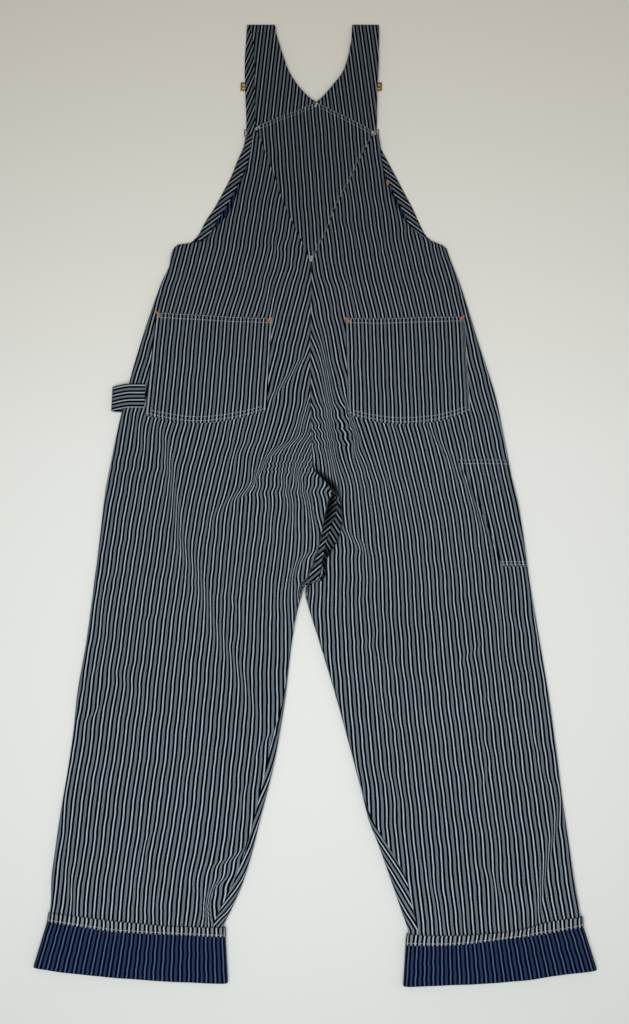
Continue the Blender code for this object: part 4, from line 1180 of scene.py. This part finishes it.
def sew_patch(side):
    patch = BACK_POCKET[side]
    seams = []
    share = np.linspace(0.012, 0.988, 80)
    for down in (0.012, 0.052):
        seams.append(on(pocket_height, *patch_place(patch, share, down)))
    for inset in (0.020, 0.056):
        share = np.linspace(inset * 0.9, 1 - inset * 0.9, 80)
        seams.append(on(pocket_height, *patch_place(patch, share, 1 - inset)))
    down = np.linspace(0.012, 0.985, 80)
    for share in (0.014, 0.986):
        seams.append(on(pocket_height, *patch_place(patch, share, down), 0.0001))
    white = sew("stitches_pocket_" + side, seams, width=0.00062)
    lean = -48 if side == "left" else 48
    tacks = [
        zigzag(*patch_place(patch, share, down), 0.0095, 0.0026, turn, pocket_height)
        for share, down, turn in ((0.020, 0.020, lean), (0.980, 0.022, -lean))
    ]
    orange = sew("tacks_pocket_" + side, tacks, ORANGE_THREAD, 0.0007, 0.0016, 0.0009)
    return white, orange


def sew_yoke():
    right_low = fine_line([s[2:] for s in YOKE[:10]])
    left_up, right_up = fine_line([s[:2] for s in YOKE[9:]]), fine_line([s[2:] for s in YOKE[9:]])
    seams = []
    for line, inset in (
        (right_low, 0.0016), (left_up, -0.0016), (left_up, -0.0062), (right_up, 0.0016), (right_up, 0.0062),
    ):
        seams.append(on(yoke_height, *inset_line(line, inset).T, 0.0002))
    white = sew("stitches_yoke", seams, width=0.00045)
    tacks = [
        zigzag(-0.0885, 0.5135, 0.0085, 0.0030, 35, yoke_height),
        zigzag(0.0895, 0.5055, 0.0085, 0.0030, -35, yoke_height),
        zigzag(0.0015, 0.5545, 0.0080, 0.0028, 60, yoke_height),
        zigzag(-0.0056, 0.2930, 0.0090, 0.0034, 90, yoke_height),
    ]
    ends = sew("tacks_yoke", tacks, WHITE_THREAD, 0.0009, 0.0014, 0.0005)
    return white, ends


def sew_rule_pocket():
    share = np.linspace(0.01, 0.985, 60)
    levels = (-0.0182, -0.0236, -0.1645, -0.1684)
    seams = [np.stack(rule_place(level, share), axis=1) + (0, 0, 0.0003) for level in levels]
    return sew("stitches_rule_pocket", seams, width=0.00062)


def sew_band(side):
    ring = leg_ring(side, 0.862, 0.0027)
    ring[:, 2] = np.maximum(ring[:, 2], 0.0006)
    return sew("stitches_hem_" + side, [np.concatenate([ring, ring[:1]])], length=0.0024, width=0.0006)


# ---------------------------------------------------------------- everything put together
def own(piece, *nodes, slot="striped_face"):
    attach(piece, "root")
    if nodes:
        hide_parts(*nodes)
    return piece


for each_side in ("left", "right"):
    for face, lay in (("back", lay_back), ("front", lay_front)):
        node = face + "_" + each_side
        panel = own(lay(each_side), node)

    turn_up, band = lay_turn_up(each_side)
    own(turn_up, "turn_up_" + each_side, slot="reverse")
    own(band, "hem_band_" + each_side)
    thread = own(sew_band(each_side))

    strap = own(lay_strap(each_side), "strap_" + each_side)

    pocket = own(lay_patch_pocket(each_side), "back_pocket_" + each_side)
    white, orange = (own(piece) for piece in sew_patch(each_side))

yoke = own(lay_yoke(), "yoke")
white, ends = (own(piece) for piece in sew_yoke())

bib, bib_pocket, facings = lay_bib()
own(bib, "bib")
own(bib_pocket, "bib_pocket")
for facing in facings:
    own(facing, facing.name.replace("cloth_", ""))

rule_pocket = own(lay_rule_pocket(), "rule_pocket")
thread = own(sew_rule_pocket())

loop = own(lay_hammer_loop(), "hammer_loop")

tack = [zigzag(0.1088, 0.4212, 0.0100, 0.0046, 65, lambda x, y: 0.0050 + 0 * x)]
own(sew("tack_bib_pocket", tack, ORANGE_THREAD, 0.0007, 0.0016, 0.0010))

for name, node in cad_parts.items():
    if name.startswith(("slider", "hook", "bib_button")):
        node.data.materials.clear()
        node.data.materials.append(BRASS)

# ---------------------------------------------------------------- floor, light and camera
def pale_floor():
    r = Recipe("Pale floor")
    up = r.times(r.node("SeparateXYZ", _0=r.place).outputs[1], 0.65, 0.50)
    # painted light and shade: the floor is darker at the near edge (-Y) and lighter and warmer towards the
    # far edge (+Y)
    floor_light_and_shade = ((0.0, (0.600, 0.612, 0.600)), (0.5, (0.830, 0.830, 0.805)), (1.0, (0.930, 0.880, 0.785)))
    tone = r.times(r.noise(r.place, 2.2, 3.0), 0.02, 0.79)
    r.surface({"Base Color": r.ramp(up, floor_light_and_shade), "Roughness": tone})
    return r.material


bpy.ops.mesh.primitive_plane_add(size=8, location=(0, 0, 0))
floor = bpy.context.object
floor.name = "floor"
floor.data.transform(floor.matrix_world)
floor.matrix_world.identity()
for vertex in floor.data.vertices:
    vertex.co.z = -0.0004
floor.data.materials.append(pale_floor())


def soft_light(name, place, aim, size, power, colour):
    light = bpy.data.lights.new(name, "AREA")
    light.shape = "RECTANGLE"
    light.size, light.size_y = size
    light.energy = power
    light.color = colour
    lamp = linked(name, light)
    lamp.location = place
    lamp.rotation_euler = (Vector(aim) - Vector(place)).to_track_quat("-Z", "Y").to_euler()


soft_light("key", (-0.12, -0.75, 1.60), (-0.06, -0.64, 0.0), (1.1, 0.9), 26.5, (0.97, 1.0, 0.99))
soft_light("fill", (1.5, -0.2, 1.7), (0.0, 0.0, 0.0), (1.2, 1.6), 5.0, (1.0, 0.98, 0.95))

world = bpy.data.worlds.new("Studio")
world.use_nodes = True
world.node_tree.nodes["Background"].inputs[0].default_value = (1.0, 0.972, 0.925, 1)
world.node_tree.nodes["Background"].inputs[1].default_value = 0.215
bpy.context.scene.world = world
bpy.context.scene.view_settings.view_transform = "Standard"

lens = bpy.data.cameras.new("camera")
lens.sensor_width = 36.0
lens.lens = 36.98
lens.clip_start, lens.clip_end = 0.05, 50
camera = linked("camera", lens)
camera.location = (-0.0010, -0.4481, 1.4350)
camera.rotation_euler = (math.radians(14), 0, 0)
bpy.context.scene.camera = camera
